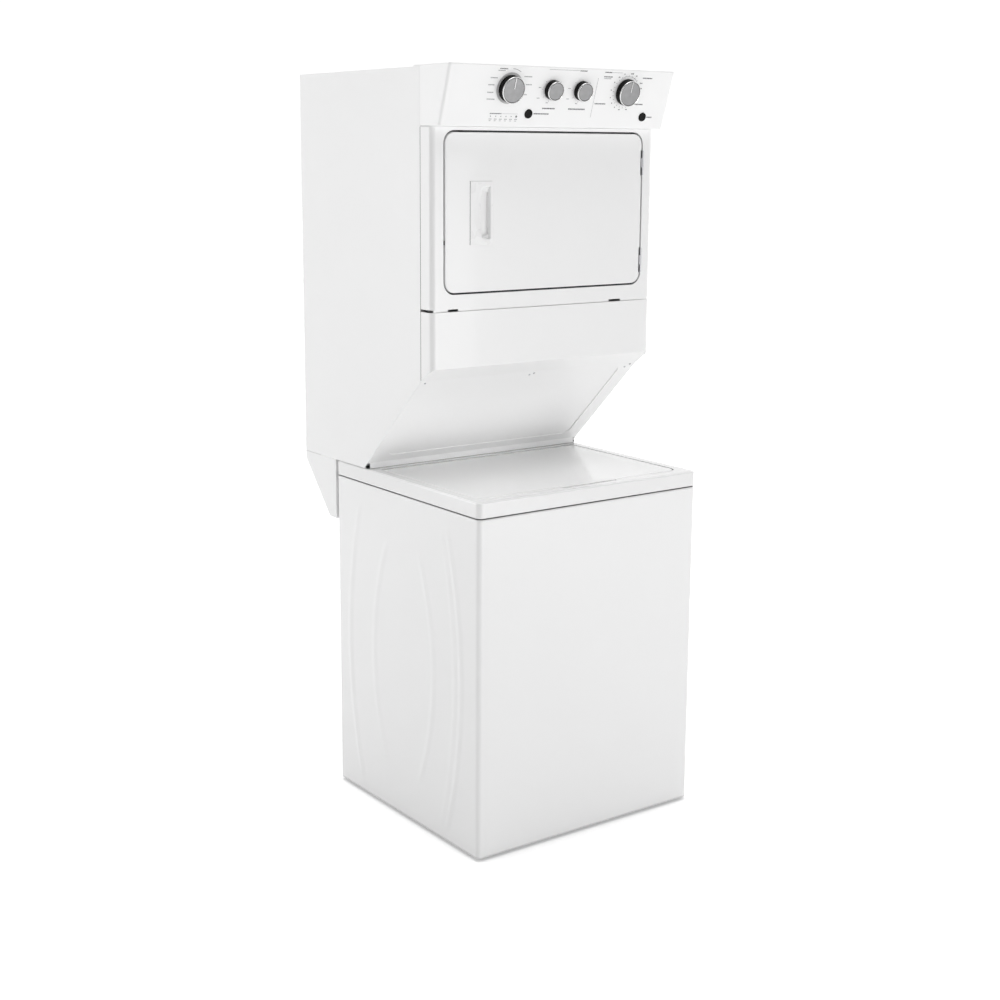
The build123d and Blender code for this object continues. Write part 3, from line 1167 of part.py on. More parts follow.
NODES = {
    "washer_cabinet": make_washer_cabinet,
    "washer_base": make_washer_base,
    "levelling_foot_left": lambda: make_foot(*foot_places()[0]),
    "levelling_foot_right": lambda: make_foot(*foot_places()[1]),
    "rear_feet": make_rear_feet,
    "rear_access_panel": make_rear_access_panel,
    "washer_deck": make_deck,
    "washer_lid": make_lid,
    "outer_tub": make_outer_tub,
    "tub_ring": make_tub_ring,
    "suspension_rods": make_suspension,
    "wash_basket": make_basket,
    "balance_ring": make_balance_ring,
    "agitator": make_agitator,
    "drive_pulley": make_drive_pulley,
    "gearcase": make_gearcase,
    "washer_motor": make_washer_motor,
    "washer_motor_pulley": make_washer_motor_pulley,
    "washer_belt": make_washer_belt,
    "drain_pump": make_drain_pump,
    "inlet_valve": make_inlet_valve,
    "rear_supports": make_rear_supports,
    "dryer_side_left": lambda: make_side_panel(-1),
    "dryer_side_right": lambda: make_side_panel(1),
    "dryer_top_panel": make_top_panel,
    "dryer_back_panel": make_back_panel,
    "dryer_front_panel": make_front_panel,
    "access_panel": make_access_panel,
    "sloped_panel": make_sloped_panel,
    "dryer_base_pan": make_base_pan,
    "front_bulkhead": make_front_bulkhead,
    "rear_bulkhead": make_rear_bulkhead,
    "dryer_drum": make_drum,
    "drum_baffles": make_baffles,
    "drum_roller_left": lambda: make_roller(-1),
    "drum_roller_right": lambda: make_roller(1),
    "drum_belt": make_drum_belt,
    "idler_pulley": make_idler,
    "dryer_motor": make_dryer_motor,
    "dryer_motor_shaft": make_motor_shaft,
    "blower_wheel": make_blower_wheel,
    "blower_housing": make_blower_housing,
    "heater_box": make_heater_box,
    "exhaust_duct": make_exhaust_duct,
    "lint_screen": make_lint_screen,
    "terminal_block": make_terminal_block,
    "door_outer": make_door_outer,
    "door_inner": make_door_inner,
    "door_seal": make_door_seal,
    "door_handle": make_handle,
    "door_hinge_leaves": make_hinge_leaves,
    "door_hinge_pins": make_hinge_pins,
    "console_panel": make_console_panel,
    "panel_screws": make_screws,
}


def main():
    os.makedirs("parts", exist_ok=True)
    for name, make in NODES.items():
        export_step(make(), f"parts/{name}.step")
    for name, place in KNOBS.items():
        export_step(make_knob(*place), f"parts/{name}.step")
    for name, place in BUTTONS.items():
        export_step(make_button(*place), f"parts/{name}.step")


main()
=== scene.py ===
import json
import math
import bmesh
import bpy
from mathutils import Matrix, Vector


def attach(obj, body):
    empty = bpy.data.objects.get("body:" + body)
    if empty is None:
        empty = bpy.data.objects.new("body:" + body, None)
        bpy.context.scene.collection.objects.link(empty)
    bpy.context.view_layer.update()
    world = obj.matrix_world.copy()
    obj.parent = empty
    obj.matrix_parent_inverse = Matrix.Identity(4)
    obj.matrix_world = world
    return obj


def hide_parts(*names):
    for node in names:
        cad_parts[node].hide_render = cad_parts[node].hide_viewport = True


# Stacked laundry centre: looks, light and camera. Metres, +Z up, front faces -Y.
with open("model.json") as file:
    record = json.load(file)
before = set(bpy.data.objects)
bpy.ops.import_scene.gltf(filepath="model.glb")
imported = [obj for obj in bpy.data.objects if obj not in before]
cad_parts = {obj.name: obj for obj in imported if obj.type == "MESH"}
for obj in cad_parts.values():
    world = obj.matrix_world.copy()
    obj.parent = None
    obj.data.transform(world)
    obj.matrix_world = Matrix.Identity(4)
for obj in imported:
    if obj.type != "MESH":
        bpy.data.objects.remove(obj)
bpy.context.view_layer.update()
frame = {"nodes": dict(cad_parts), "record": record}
nodes = frame["nodes"]

MM = 0.001
SHARP_EDGE = math.radians(38)      # folds steeper than this stay crisp

# ---------------------------------------------------------------- camera
CAMERA_PLACE = (-2.4613, -3.3880, 1.7189)
CAMERA_YAW = 35.67
CAMERA_PITCH = 10.83
CAMERA_ROLL = 0.24
CAMERA_LENS = 57.29
CAMERA_SHIFT = (0.0137, -0.045)

# ---------------------------------------------------------------- sizes shared with the frame
TILT = math.radians(17.873)
CONSOLE_FOOT = (-246.0, 1775.0)
BIG_R = 32.5
BIG_H = 20.0
SMALL_R = 23.8
SMALL_H = 18.5
KNOBS = {
    "washer_cycle_knob": (-163.0, 94.0, BIG_R, BIG_H, "washer_cycle_dial", True),
    "left_option_knob": (-35.0, 94.0, SMALL_R, SMALL_H, "left_option_dial", False),
    "right_option_knob": (56.0, 94.0, SMALL_R, SMALL_H, "right_option_dial", False),
    "dryer_timer_knob": (198.0, 94.0, BIG_R, BIG_H, "dryer_timer_dial", True),
}
BUTTONS = {
    "washer_start_button": (-93.0, 33.0, "washer_start"),
    "dryer_start_button": (270.0, 31.0, "dryer_start"),
}
BUTTON_R = 11.0
KNOB_STEPS = 144
FLUTES = 72
FLUTE_DEPTH = 0.18


# ---------------------------------------------------------------- materials
def new_material(name):
    mat = bpy.data.materials.new(name)
    mat.use_nodes = True
    return mat, mat.node_tree.nodes, mat.node_tree.links, mat.node_tree.nodes["Principled BSDF"]


def noise(tree_nodes, links, coords, scale, detail=2.0, stretch=(1, 1, 1)):
    """Noise texture on object coordinates, stretched along the axes."""
    mapping = tree_nodes.new("ShaderNodeMapping")
    mapping.inputs["Scale"].default_value = stretch
    links.new(coords.outputs["Object"], mapping.inputs["Vector"])
    tex = tree_nodes.new("ShaderNodeTexNoise")
    tex.inputs["Scale"].default_value = scale
    tex.inputs["Detail"].default_value = detail
    links.new(mapping.outputs["Vector"], tex.inputs["Vector"])
    return tex


def surface(name, color, rough, metal=0.0, tone=0.02, tone_scale=6.0, rough_swing=0.04, grain=500.0,
            grain_depth=0.00002, stretch=(1, 1, 1), coat=0.0, specular=0.5):
    """Principled surface with slow colour drift, roughness drift and a fine bump at real scale."""
    mat, tree, links, shader = new_material(name)
    coords = tree.new("ShaderNodeTexCoord")
    slow = noise(tree, links, coords, tone_scale)
    mix = tree.new("ShaderNodeMix")
    mix.data_type = "RGBA"
    mix.inputs["A"].default_value = [c * (1 - tone) for c in color] + [1]
    mix.inputs["B"].default_value = [min(1.0, c * (1 + tone)) for c in color] + [1]
    links.new(slow.outputs["Fac"], mix.inputs["Factor"])
    links.new(mix.outputs["Result"], shader.inputs["Base Color"])
    patch = noise(tree, links, coords, tone_scale * 4, 3.0)
    swing = tree.new("ShaderNodeMapRange")
    swing.inputs["To Min"].default_value = max(0.02, rough - rough_swing)
    swing.inputs["To Max"].default_value = rough + rough_swing
    links.new(patch.outputs["Fac"], swing.inputs["Value"])
    links.new(swing.outputs["Result"], shader.inputs["Roughness"])
    fine = noise(tree, links, coords, grain, 3.0, stretch)
    bump = tree.new("ShaderNodeBump")
    bump.inputs["Distance"].default_value = grain_depth
    links.new(fine.outputs["Fac"], bump.inputs["Height"])
    links.new(bump.outputs["Normal"], shader.inputs["Normal"])
    shader.inputs["Metallic"].default_value = metal
    shader.inputs["Coat Weight"].default_value = coat
    shader.inputs["Specular IOR Level"].default_value = specular
    return mat


ENAMEL = surface("white_enamel", (0.86, 0.86, 0.86), 0.30, tone=0.006, grain=260, grain_depth=0.00001,
                 coat=0.2)
LID = surface("lid_enamel", (0.84, 0.84, 0.84), 0.10, tone=0.006, rough_swing=0.02, grain=200,
              grain_depth=0.000004, coat=0.5)
INNER_WHITE = surface("inner_white", (0.80, 0.80, 0.79), 0.4, tone=0.015)
CONSOLE = surface("console_plastic", (0.92, 0.92, 0.92), 0.35, tone=0.006, grain=1800, grain_depth=0.000012)
HANDLE = surface("handle_plastic", (0.86, 0.86, 0.86), 0.28, tone=0.01, grain=900, grain_depth=0.00001)
ZINC = surface("zinc_sheet", (0.60, 0.61, 0.62), 0.42, metal=0.9, tone=0.12, tone_scale=40, grain=900)
STAINLESS = surface("brushed_stainless", (0.66, 0.67, 0.68), 0.30, metal=1.0, tone=0.05, grain=300,
                    stretch=(1, 1, 14))
STEEL = surface("machined_steel", (0.52, 0.52, 0.54), 0.35, metal=1.0, tone=0.06, grain=500,
                stretch=(1, 1, 10))
CASTING = surface("cast_metal", (0.42, 0.43, 0.44), 0.55, metal=0.7, tone=0.08, grain=700, grain_depth=0.0001)
BLACK = surface("black_plastic", (0.006, 0.006, 0.006), 0.5, tone=0.2, grain=1500, grain_depth=0.00003,
                specular=0.12)
GREY_PLASTIC = surface("grey_plastic", (0.22, 0.22, 0.23), 0.5, tone=0.06, grain=1200, grain_depth=0.00004)
TUB_PLASTIC = surface("tub_plastic", (0.66, 0.67, 0.66), 0.45, tone=0.03, grain=900, grain_depth=0.00005)
AGITATOR = surface("agitator_plastic", (0.52, 0.56, 0.61), 0.32, tone=0.02, grain=900, grain_depth=0.00002)
RUBBER = surface("black_rubber", (0.03, 0.03, 0.03), 0.75, tone=0.2, grain=1500, grain_depth=0.00008)
# Near-black seal rubber, kept this dark so that it also serves as painted shade in the dryer door's gap and
# beside the door pull.
SEAL_AND_GAP_SHADE = surface("seal_rubber_and_gap_shade", (0.055, 0.055, 0.058), 0.85, tone=0.1, grain=1500, grain_depth=0.0001)
IVORY = surface("ivory_nylon", (0.72, 0.70, 0.64), 0.45, tone=0.03)
CHROME_RIM = surface("bright_rim", (0.92, 0.92, 0.92), 0.16, metal=1.0, tone=0.02)
KNOB_FACE = surface("brushed_face", (0.29, 0.29, 0.293), 0.42, metal=0.8, tone=0.14, tone_scale=70, grain=500,
                    grain_depth=0.00014, stretch=(1, 7, 1))
INK_DARK = surface("dark_ink", (0.05, 0.05, 0.055), 0.6, tone=0.2, grain=2000)
INK_GREY = surface("grey_ink", (0.30, 0.30, 0.31), 0.6, tone=0.1, grain=2000)
# Pale grey ink: print on the console, and also the halo round the washer's knob, which is partly print and
# partly painted shade.
INK_LIGHT_AND_KNOB_SHADE = surface("light_ink_and_knob_shade", (0.50, 0.50, 0.50), 0.6, tone=0.05, grain=2000)
SHADOW = surface("gap_shadow", (0.02, 0.02, 0.02), 0.9, tone=0.1, grain=2000, specular=0.1)
FLOOR = surface("floor", (0.93, 0.93, 0.93), 0.9, tone=0.003, grain=20, specular=0.0)

FINISH = {
    "white_enamel": ENAMEL,
    "lid_enamel": LID,
    "galvanized_sheet": ZINC,
    "inner_door_white": INNER_WHITE,
    "drum_coating": INNER_WHITE,
    "basket_steel": STAINLESS,
    "console_plastic": CONSOLE,
    "handle_plastic": HANDLE,
    "knob_plastic": BLACK,
    "button_plastic": BLACK,
    "tub_plastic": TUB_PLASTIC,
    "agitator_plastic": AGITATOR,
    "motor_casting": CASTING,
    "steel_parts": STEEL,
    "rod_steel": STEEL,
    "belt_rubber": RUBBER,
    "seal_rubber": SEAL_AND_GAP_SHADE,
    "foot_rubber": RUBBER,
    "grey_plastic": GREY_PLASTIC,
    "valve_plastic": IVORY,
    "fastener_steel": STEEL,
}


def dress_frame():
    """Gives every CAD node the finish of its material slot."""
    for part in frame["record"]["subparts"]:
        finish = FINISH[part["material_slot"]]
        mesh = nodes[part["node"]].data
        mesh.materials.clear()
        mesh.materials.append(finish)


# ---------------------------------------------------------------- mesh helpers
def add_mesh(name, verts, faces, finish, body="cabinet", smooth=True, place=None):
    """Mesh piece from vertices in millimetres, riding on a body."""
    mesh = bpy.data.meshes.new(name)
    mesh.from_pydata([Vector(v) * MM for v in verts], [], faces)
    mesh.validate()
    obj = bpy.data.objects.new(name, mesh)
    bpy.context.scene.collection.objects.link(obj)
    mesh.materials.append(finish)
    if smooth:
        for poly in mesh.polygons:
            poly.use_smooth = True
        mesh.set_sharp_from_angle(angle=SHARP_EDGE)
    if place is not None:
        obj.matrix_world = place
    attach(obj, body)
    return obj


def sheet_thickness(obj, thickness, offset):
    """Gives a single-walled piece its sheet's thickness in millimetres."""
    thick = obj.modifiers.new("sheet", "SOLIDIFY")
    thick.thickness = thickness * MM
    thick.offset = offset


def fix_normals(obj):
    """Turns every face outward."""
    bm = bmesh.new()
    bm.from_mesh(obj.data)
    bmesh.ops.recalc_face_normals(bm, faces=bm.faces)
    bm.to_mesh(obj.data)
    bm.free()


def grid_faces(rows, cols, closed=False):
    """Quads of a row-major grid, its columns joined end to start if closed."""
    faces = []
    for r in range(rows - 1):
        for c in range(cols if closed else cols - 1):
            d = (c + 1) % cols
            faces.append((r * cols + c, r * cols + d, (r + 1) * cols + d, (r + 1) * cols + c))
    return faces


def lathe(points, steps=96, wobble=None):
    """Vertices and quads of a closed turn of (radius, height) points about Z."""
    verts = []
    for r, z in points:
        for i in range(steps):
            a = 2 * math.pi * i / steps
            grow = wobble(r, z, a) if wobble else 0.0
            verts.append(((r + grow) * math.cos(a), (r + grow) * math.sin(a), z))
    return verts, grid_faces(len(points), steps, True)


def console_place(x, up, lift=0.0):
    """Matrix of a frame on the console's face: X right, Y up the face, Z out of it."""
    s, c = math.sin(TILT), math.cos(TILT)
    y = CONSOLE_FOOT[0] - up * s - lift * c
    z = CONSOLE_FOOT[1] + up * c - lift * s
    return Matrix(((1, 0, 0, x * MM), (0, -s, -c, y * MM), (0, c, -s, z * MM), (0, 0, 0, 1)))


def smoothstep(a, b, v):
    """Smooth rise from 0 at a to 1 at b; a may be above b for a fall."""
    t = min(1.0, max(0.0, (v - a) / (b - a)))
    return t * t * (3 - 2 * t)


def rounded_outline(x0, x1, y0, y1, r, steps=8):
    """Counter-clockwise points of a rounded rectangle."""
    points = []
    corners = ((x1 - r, y0 + r, -90), (x1 - r, y1 - r, 0), (x0 + r, y1 - r, 90), (x0 + r, y0 + r, 180))
    for cx, cy, start in corners:
        for i in range(steps + 1):
            a = math.radians(start + 90 * i / steps)
            points.append((cx + r * math.cos(a), cy + r * math.sin(a)))
    return points


# ---------------------------------------------------------------- washer shell
SHELL_X = 345.275
SHELL_Y0 = -411.15
SHELL_Y1 = 248.05
SHELL_Z0 = 8.0
SHELL_Z1 = 862.2
SHELL_R = 12.0
SHELL_STEP = 5.0
SHELL_SHEET = 1.4
SERVICE_X = 262.0                  # half width of the opening in the back
SERVICE_Z0 = 118.0
SERVICE_Z1 = 612.0
ARC_MID_Y = -76.0
ARCS = (                       # half width at mid height, at the ends, lowest and highest Z, height
    (261.0, 204.0, 51.0, 806.0, 2.0),
    (140.0, 78.0, 131.0, 717.0, 1.7),
)
ARC_WIDTH = 9.0
ARC_REACH = 1.06                   # share of an arc's half height where it has faded out
ARC_FADE = 0.96
DOUBLE_ARC_FROM = 200.0            # arcs wider than this have a second ridge in front
DOUBLE_ARC_STEP = 26.0
DOUBLE_ARC_SHARE = 0.7


def emboss(y, z):
    """How far the washer's side stands out at (y, z)."""
    total = 0.0
    for mid, end, z0, z1, height in ARCS:
        centre = (z0 + z1) / 2
        half = (z1 - z0) / 2
        share = (z - centre) / half
        if abs(share) > ARC_REACH:
            continue
        reach = end + (mid - end) * (1 - share * share)
        fade = smoothstep(ARC_REACH, ARC_FADE, abs(share))
        for side in (-1, 1):
            gap = y - ARC_MID_Y - side * reach
            total += fade * height * math.exp(-(gap / ARC_WIDTH) ** 2)
        if mid > DOUBLE_ARC_FROM:
            gap = y - ARC_MID_Y + reach - DOUBLE_ARC_STEP
            total += fade * height * DOUBLE_ARC_SHARE * math.exp(-(gap / ARC_WIDTH) ** 2)
    return total


def span(a, b, step):
    """Evenly spread values from a to b, both included."""
    count = max(1, round(abs(b - a) / step))
    return [a + (b - a) * i / count for i in range(count + 1)]


def shell_path():
    """Plan outline of the washer shell as (x, y, outward x, outward y, embossed)."""
    x, y0, y1, r = SHELL_X, SHELL_Y0, SHELL_Y1, SHELL_R
    path = [(-x, y, -1, 0, True) for y in span(y1 - r, y0 + r, SHELL_STEP)]
    path += corner_path(-x + r, y0 + r, r, 180)
    path += [(px, y0, 0, -1, False) for px in span(-x + r, x - r, 20)[1:-1]]
    path += corner_path(x - r, y0 + r, r, 270)
    path += [(x, y, 1, 0, True) for y in span(y0 + r, y1 - r, SHELL_STEP)]
    path += corner_path(x - r, y1 - r, r, 0)
    path += [(px, y1, 0, 1, False) for px in (SERVICE_X, 0.0, -SERVICE_X)]
    path += corner_path(-x + r, y1 - r, r, 90)
    return path


def corner_path(cx, cy, r, start, steps=8):
    """Quarter turn of the shell's outline, from the angle start."""
    points = []
    for i in range(steps + 1):
        a = math.radians(start + 90 * i / steps)
        points.append((cx + r * math.cos(a), cy + r * math.sin(a), math.cos(a), math.sin(a), False))
    return points


def without_repeats(path):
    """The closed outline without points that coincide with their neighbour."""
    def apart(p, q):
        return math.hypot(p[0] - q[0], p[1] - q[1]) >= 0.01

    clean = [path[0]]
    clean += [p for before, p in zip(path, path[1:]) if apart(before, p)]
    if not apart(clean[0], clean[-1]):
        clean.pop()
    return clean


def in_service_opening(p, q, z):
    """True for the strip of the back between outline points p and q at height z."""
    on_back = all(point[3] == 1 and abs(point[0]) <= SERVICE_X for point in (p, q))
    return on_back and SERVICE_Z0 <= z < SERVICE_Z1


def make_washer_shell():
    """Washer's sheet shell with the pressed arcs in both sides and the service opening behind."""
    path = without_repeats(shell_path())
    heights = sorted(set(span(SHELL_Z0, SHELL_Z1, 6.0) + [SERVICE_Z0, SERVICE_Z1]))
    verts = []
    for z in heights:
        for x, y, nx, ny, pressed in path:
            out = emboss(y, z) if pressed else 0.0
            verts.append((x + nx * out, y + ny * out, z))
    cols = len(path)
    faces = []
    for r in range(len(heights) - 1):
        for c in range(cols):
            d = (c + 1) % cols
            if not in_service_opening(path[c], path[d], heights[r]):
                faces.append((r * cols + c, r * cols + d, (r + 1) * cols + d, (r + 1) * cols + c))
    shell = add_mesh("washer_shell", verts, faces, ENAMEL)
    fix_normals(shell)
    sheet_thickness(shell, SHELL_SHEET, -1)
    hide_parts("washer_cabinet")


# ---------------------------------------------------------------- controls
def knob_outlines(r, h):
    """(Radius, height) points of a dial's skirt, bright rim, dark groove and face."""
    skirt = [(r - 3, 1.3), (r - 0.6, 1.2), (r, 1.8), (r, 2.6), (r - 0.3, h - 3.6), (r - 0.4, h - 2.8),
             (r - 2.6, h - 2.6), (3.2, h - 2.6), (3.2, -12), (2.4, -12.6), (0.01, -12.6)]
    rim = [(r - 0.4, h - 2.75), (r - 0.35, h - 1.6), (r - 1.1, h - 0.35), (r - 1.7, h - 0.1),
           (r - 2.3, h - 0.35), (r - 2.6, h - 1.0), (r - 2.7, h - 2.5)]
    groove = [(r - 2.6, h - 2.5), (r - 2.6, h - 1.15), (r - 3.5, h - 1.15), (r - 3.5, h - 2.5)]
    face = [(r - 3.45, h - 2.5), (r - 3.45, h - 1.1), (r - 3.8, h - 0.8), (r * 0.5, h - 0.7), (0.01, h - 0.7)]
    return skirt, rim, groove, face


def make_knob(node, x, up, r, h, body, pointer):
    """Dial: fluted black skirt, bright rim, brushed face and, on the large ones, a pointer."""
    place = console_place(x, up)
    skirt, rim, groove, face = knob_outlines(r, h)

    def flutes(radius, height, angle):
        on_skirt = radius > r - 1.0 and 2.0 < height < h - 3.2
        return FLUTE_DEPTH * math.cos(angle * FLUTES) if on_skirt else 0.0

    verts, faces = lathe(skirt, KNOB_STEPS, flutes)
    piece = add_mesh(f"{node}_skirt", verts, faces, BLACK, body, place=place)
    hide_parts(node)
    inlays = (("rim", rim, CHROME_RIM), ("groove", groove, BLACK), ("face", face, KNOB_FACE))
    for part, outline, finish in inlays:
        verts, faces = lathe(outline, KNOB_STEPS)
        add_mesh(f"{node}_{part}", verts, faces, finish, body, place=place)
    if pointer:
        # The dark bar beside the pointer's bright line is painted shade.
        for part, side, width, finish in (("shade", -1.2, 1.1, INK_DARK), ("line", 0.35, 1.9, CHROME_RIM)):
            verts, faces = bar(side, 0.5 * r, width, r - 6.0, 0.45)
            verts = [(vx, vy, vz + h - 0.9) for vx, vy, vz in verts]
            add_mesh(f"{node}_pointer_{part}", verts, faces, finish, body, False, place)


def bar(cx, cy, w, length, t):
    """Small bevelled bar centred at (cx, cy), lying on Z = 0."""
    a, b = w / 2, length / 2
    c = min(0.15, a * 0.5)
    low = [(cx - a, cy - b, 0), (cx + a, cy - b, 0), (cx + a, cy + b, 0), (cx - a, cy + b, 0)]
    top = [(cx - a + c, cy - b + c, t), (cx + a - c, cy - b + c, t), (cx + a - c, cy + b - c, t),
           (cx - a + c, cy + b - c, t)]
    faces = [(3, 2, 1, 0), (4, 5, 6, 7)]
    faces += [(i, (i + 1) % 4, 4 + (i + 1) % 4, 4 + i) for i in range(4)]
    return low + top, faces


def make_button(node, x, up, body):
    """Round black push button with a dished face."""
    r = BUTTON_R
    outline = [(r + 1.8, -9), (r + 1.8, -6.6), (r, -6.5), (r, 1.8), (r - 0.4, 2.7), (r - 1.3, 3.0),
               (r - 2.2, 2.8), (r * 0.5, 2.0), (0.01, 1.8)]
    verts, faces = lathe(outline, 72)
    piece = add_mesh(f"{node}_cap", verts, faces, BLACK, body, place=console_place(x, up))
    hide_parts(node)


# ---------------------------------------------------------------- printed marks on the console
PRINT_LIFT = 0.06
DASHES = (2.6, 1.7, 3.1, 2.0, 1.4, 2.8)
DASH_SPACE = 0.7
LAMPS = 6
LAMP_X = -203.5
LAMP_PITCH = 15.2
LAMP_UP = 25.5
LAST_LAMP_X = -127.6


class Print:
    """Collects flat marks on the console's face into one piece."""

    def __init__(self, name, finish):
        self.name, self.finish, self.verts, self.faces = name, finish, [], []

    def strip(self, inner, outer, closed=False):
        """Band between two rows of points."""
        start = len(self.verts)
        n = len(inner)
        self.verts += [(px, py, PRINT_LIFT) for px, py in inner]
        self.verts += [(px, py, PRINT_LIFT) for px, py in outer]
        for i in range(n if closed else n - 1):
            j = (i + 1) % n
            self.faces.append((start + i, start + n + i, start + n + j, start + j))

    def line(self, x0, y0, x1, y1, width):
        length = math.hypot(x1 - x0, y1 - y0)
        ox, oy = -(y1 - y0) / length * width / 2, (x1 - x0) / length * width / 2
        self.strip([(x0 + ox, y0 + oy), (x1 + ox, y1 + oy)], [(x0 - ox, y0 - oy), (x1 - ox, y1 - oy)])

    def arc(self, cx, cy, r0, r1, a0=0.0, a1=360.0):
        steps = max(2, int(abs(a1 - a0) / 3))
        closed = abs(a1 - a0) >= 360
        angles = [math.radians(a0 + (a1 - a0) * i / steps) for i in range(steps if closed else steps + 1)]
        self.strip([(cx + r0 * math.cos(a), cy + r0 * math.sin(a)) for a in angles],
                   [(cx + r1 * math.cos(a), cy + r1 * math.sin(a)) for a in angles], closed)

    def word(self, x, y, width, height=2.2):
        """Row of short dashes that stands for a label."""
        top, foot = y + height / 2, y - height / 2
        px, i = x, 0
        while px < x + width - 0.8:
            end = px + min(DASHES[i % len(DASHES)], x + width - px)
            self.strip([(px, top), (end, top)], [(px, foot), (end, foot)])
            px = end + DASH_SPACE
            i += 1

    def build(self):
        obj = add_mesh(self.name, self.verts, self.faces, self.finish, "cabinet", False, console_place(0, 0))
        fix_normals(obj)


def dial_words(ink, centre, radius, labels, height):
    """Labels around a dial, each starting at the radius; those on the left end there."""
    for angle, length in labels:
        a = math.radians(angle)
        x = centre[0] + radius * math.cos(a)
        y = centre[1] + radius * math.sin(a)
        ink.word(x - length if math.cos(a) < 0 else x, y, length, height)


def dial_ticks(ink, centre, angles, inner, outer, width):
    """Short strokes around a dial, between two radii."""
    x, y = centre
    for angle in angles:
        c, s = math.cos(math.radians(angle)), math.sin(math.radians(angle))
        ink.line(x + inner * c, y + inner * s, x + outer * c, y + outer * s, width)


def print_washer_dial(dark, grey, light):
    """Halo, cycle names and the arc of the washer's cycle dial; the halo is a grey ring, partly print and
    partly painted shade round the knob.
    """
    centre = KNOBS["washer_cycle_knob"][:2]
    # Halo: pale ring round the knob, partly print and partly painted shade.
    light.arc(*centre, 33.2, 38.0)
    grey.arc(*centre, 46.0, 47.2, 58, 90)
    left = ((150, 20), (172, 17), (194, 17), (216, 23))
    right = ((38, 24), (12, 17), (-18, 9))
    dial_words(grey, centre, 47.0, left + right, 2.4)
    dark.word(centre[0] - 38, centre[1] + 46, 24, 2.4)
    grey.word(centre[0] - 42, centre[1] + 41.5, 20, 2.2)


def print_options(dark, grey):
    """Ticks, small labels and titles of the two option dials."""
    for knob in ("left_option_knob", "right_option_knob"):
        x, up = KNOBS[knob][:2]
        dial_ticks(grey, (x, up), (140, 180, 220, 262, 0, 40), 27.5, 31.0, 0.9)
        grey.word(x - 42, 98, 7, 1.9)
        grey.word(x - 42, 72, 8, 1.9)
        grey.word(x - 12, 61, 7, 1.9)
    dark.word(-54, 47, 38, 3.2)
    dark.word(26, 47, 52, 3.2)


def print_dryer_dial(dark, grey):
    """Dotted ring, numbers and cycle names of the dryer's timer dial."""
    centre = KNOBS["dryer_timer_knob"][:2]
    grey.arc(*centre, 38.4, 39.2, 40, 130)
    dial_ticks(grey, centre, range(0, 360, 15), 38.4, 42.0, 1.0)
    numbers = ((150, 4), (128, 5), (106, 4), (84, 9), (62, 5), (30, 8), (12, 6), (-30, 6), (-76, 5), (-98, 6),
               (-120, 4), (-140, 4), (-160, 4), (176, 4))
    dial_words(dark, centre, 46.0, numbers, 2.4)
    dark.word(centre[0] - 80, centre[1] + 36, 28, 2.8)
    grey.word(centre[0] - 78, centre[1] + 31.5, 22, 2.0)
    dark.word(centre[0] + 46, centre[1] + 36, 31, 2.8)
    dark.word(centre[0] - 92, centre[1] - 32, 34, 2.8)
    dark.word(centre[0] + 38, centre[1] - 31, 26, 2.8)


def print_lamps(dark, grey, light):
    """Row of status lamps with their labels and bracket."""
    for i in range(LAMPS):
        x = LAMP_X + LAMP_PITCH * i
        grey.arc(x, LAMP_UP, 0.0, 1.5)
        grey.word(x - 4, 18.5, 8, 2.0)
        grey.word(x - 3, 14.5, 6, 1.6)
    dark.arc(LAST_LAMP_X, LAMP_UP, 0.0, 2.6)
    dark.word(-207, 32.0, 34, 2.4)
    light.line(-171, 32.0, -124, 32.0, 0.9)


def make_print():
    """All the printed marks of the console, as one piece per ink; the pale ink's piece also carries the
    painted shade of the washer knob's halo.
    """
    dark = Print("print_dark", INK_DARK)
    grey = Print("print_grey", INK_GREY)
    light = Print("print_light_and_knob_shade", INK_LIGHT_AND_KNOB_SHADE)
    print_washer_dial(dark, grey, light)
    print_options(dark, grey)
    print_dryer_dial(dark, grey)
    print_lamps(dark, grey, light)
    dark.word(-77, 33.5, 46, 3.0)
    dark.word(285, 30.5, 17, 3.0)
    grey.line(-55, 142.5, 38, 142.5, 0.8)
    dark.word(40, 142.0, 22, 2.6)
    grey.line(142, 141.0, 175, 141.0, 0.8)
    dark.word(119, 141.0, 22, 2.6)
    grey.line(101, 27, 101, 126, 0.8)
    for ink in (dark, grey, light):
        ink.build()


# ---------------------------------------------------------------- dryer door pull
PULL_X0, PULL_X1, PULL_Z0, PULL_Z1 = -234.5, -168.0, 1494.0, 1647.0
PULL_FACE = -216.3
PULL_PLATE = 3.0
PULL_STEP = 0.8
LENS_LEFT = -227.5                 # leftmost point of the scoop's curved edge
LENS_SAG = 27.0
LENS_HALF = 64.0
LENS_DEPTH = 7.0
SLOT_DEPTH = 6.0
SLOT_X = -198.0


def pull_depth(x, z):
    """How deep the door pull's face is below its plate at (x, z)."""
    mid = (PULL_Z0 + PULL_Z1) / 2
    dz = abs(z - mid)
    edge = min(x - PULL_X0, PULL_X1 - x, z - PULL_Z0, PULL_Z1 - z)
    rounding = 1.3 * (1 - smoothstep(0.0, 1.6, edge)) ** 2
    right_wall = smoothstep(-174.6, -176.8, x)
    arc_left = LENS_LEFT + LENS_SAG * (dz / LENS_HALF) ** 2
    lens = 0.0
    if x > arc_left and dz < LENS_HALF:
        ends = smoothstep(LENS_HALF + 0.5, LENS_HALF - 5.0, dz)
        lens = LENS_DEPTH * smoothstep(0.0, 26.0, x - arc_left) * ends * right_wall
    slot_half = 58.0 - 0.35 * max(0.0, x - SLOT_X)
    slot = SLOT_DEPTH * smoothstep(SLOT_X - 2.0, SLOT_X + 1.0, x) * right_wall
    slot *= smoothstep(slot_half + 3.0, slot_half - 3.0, dz)
    return rounding + lens + slot


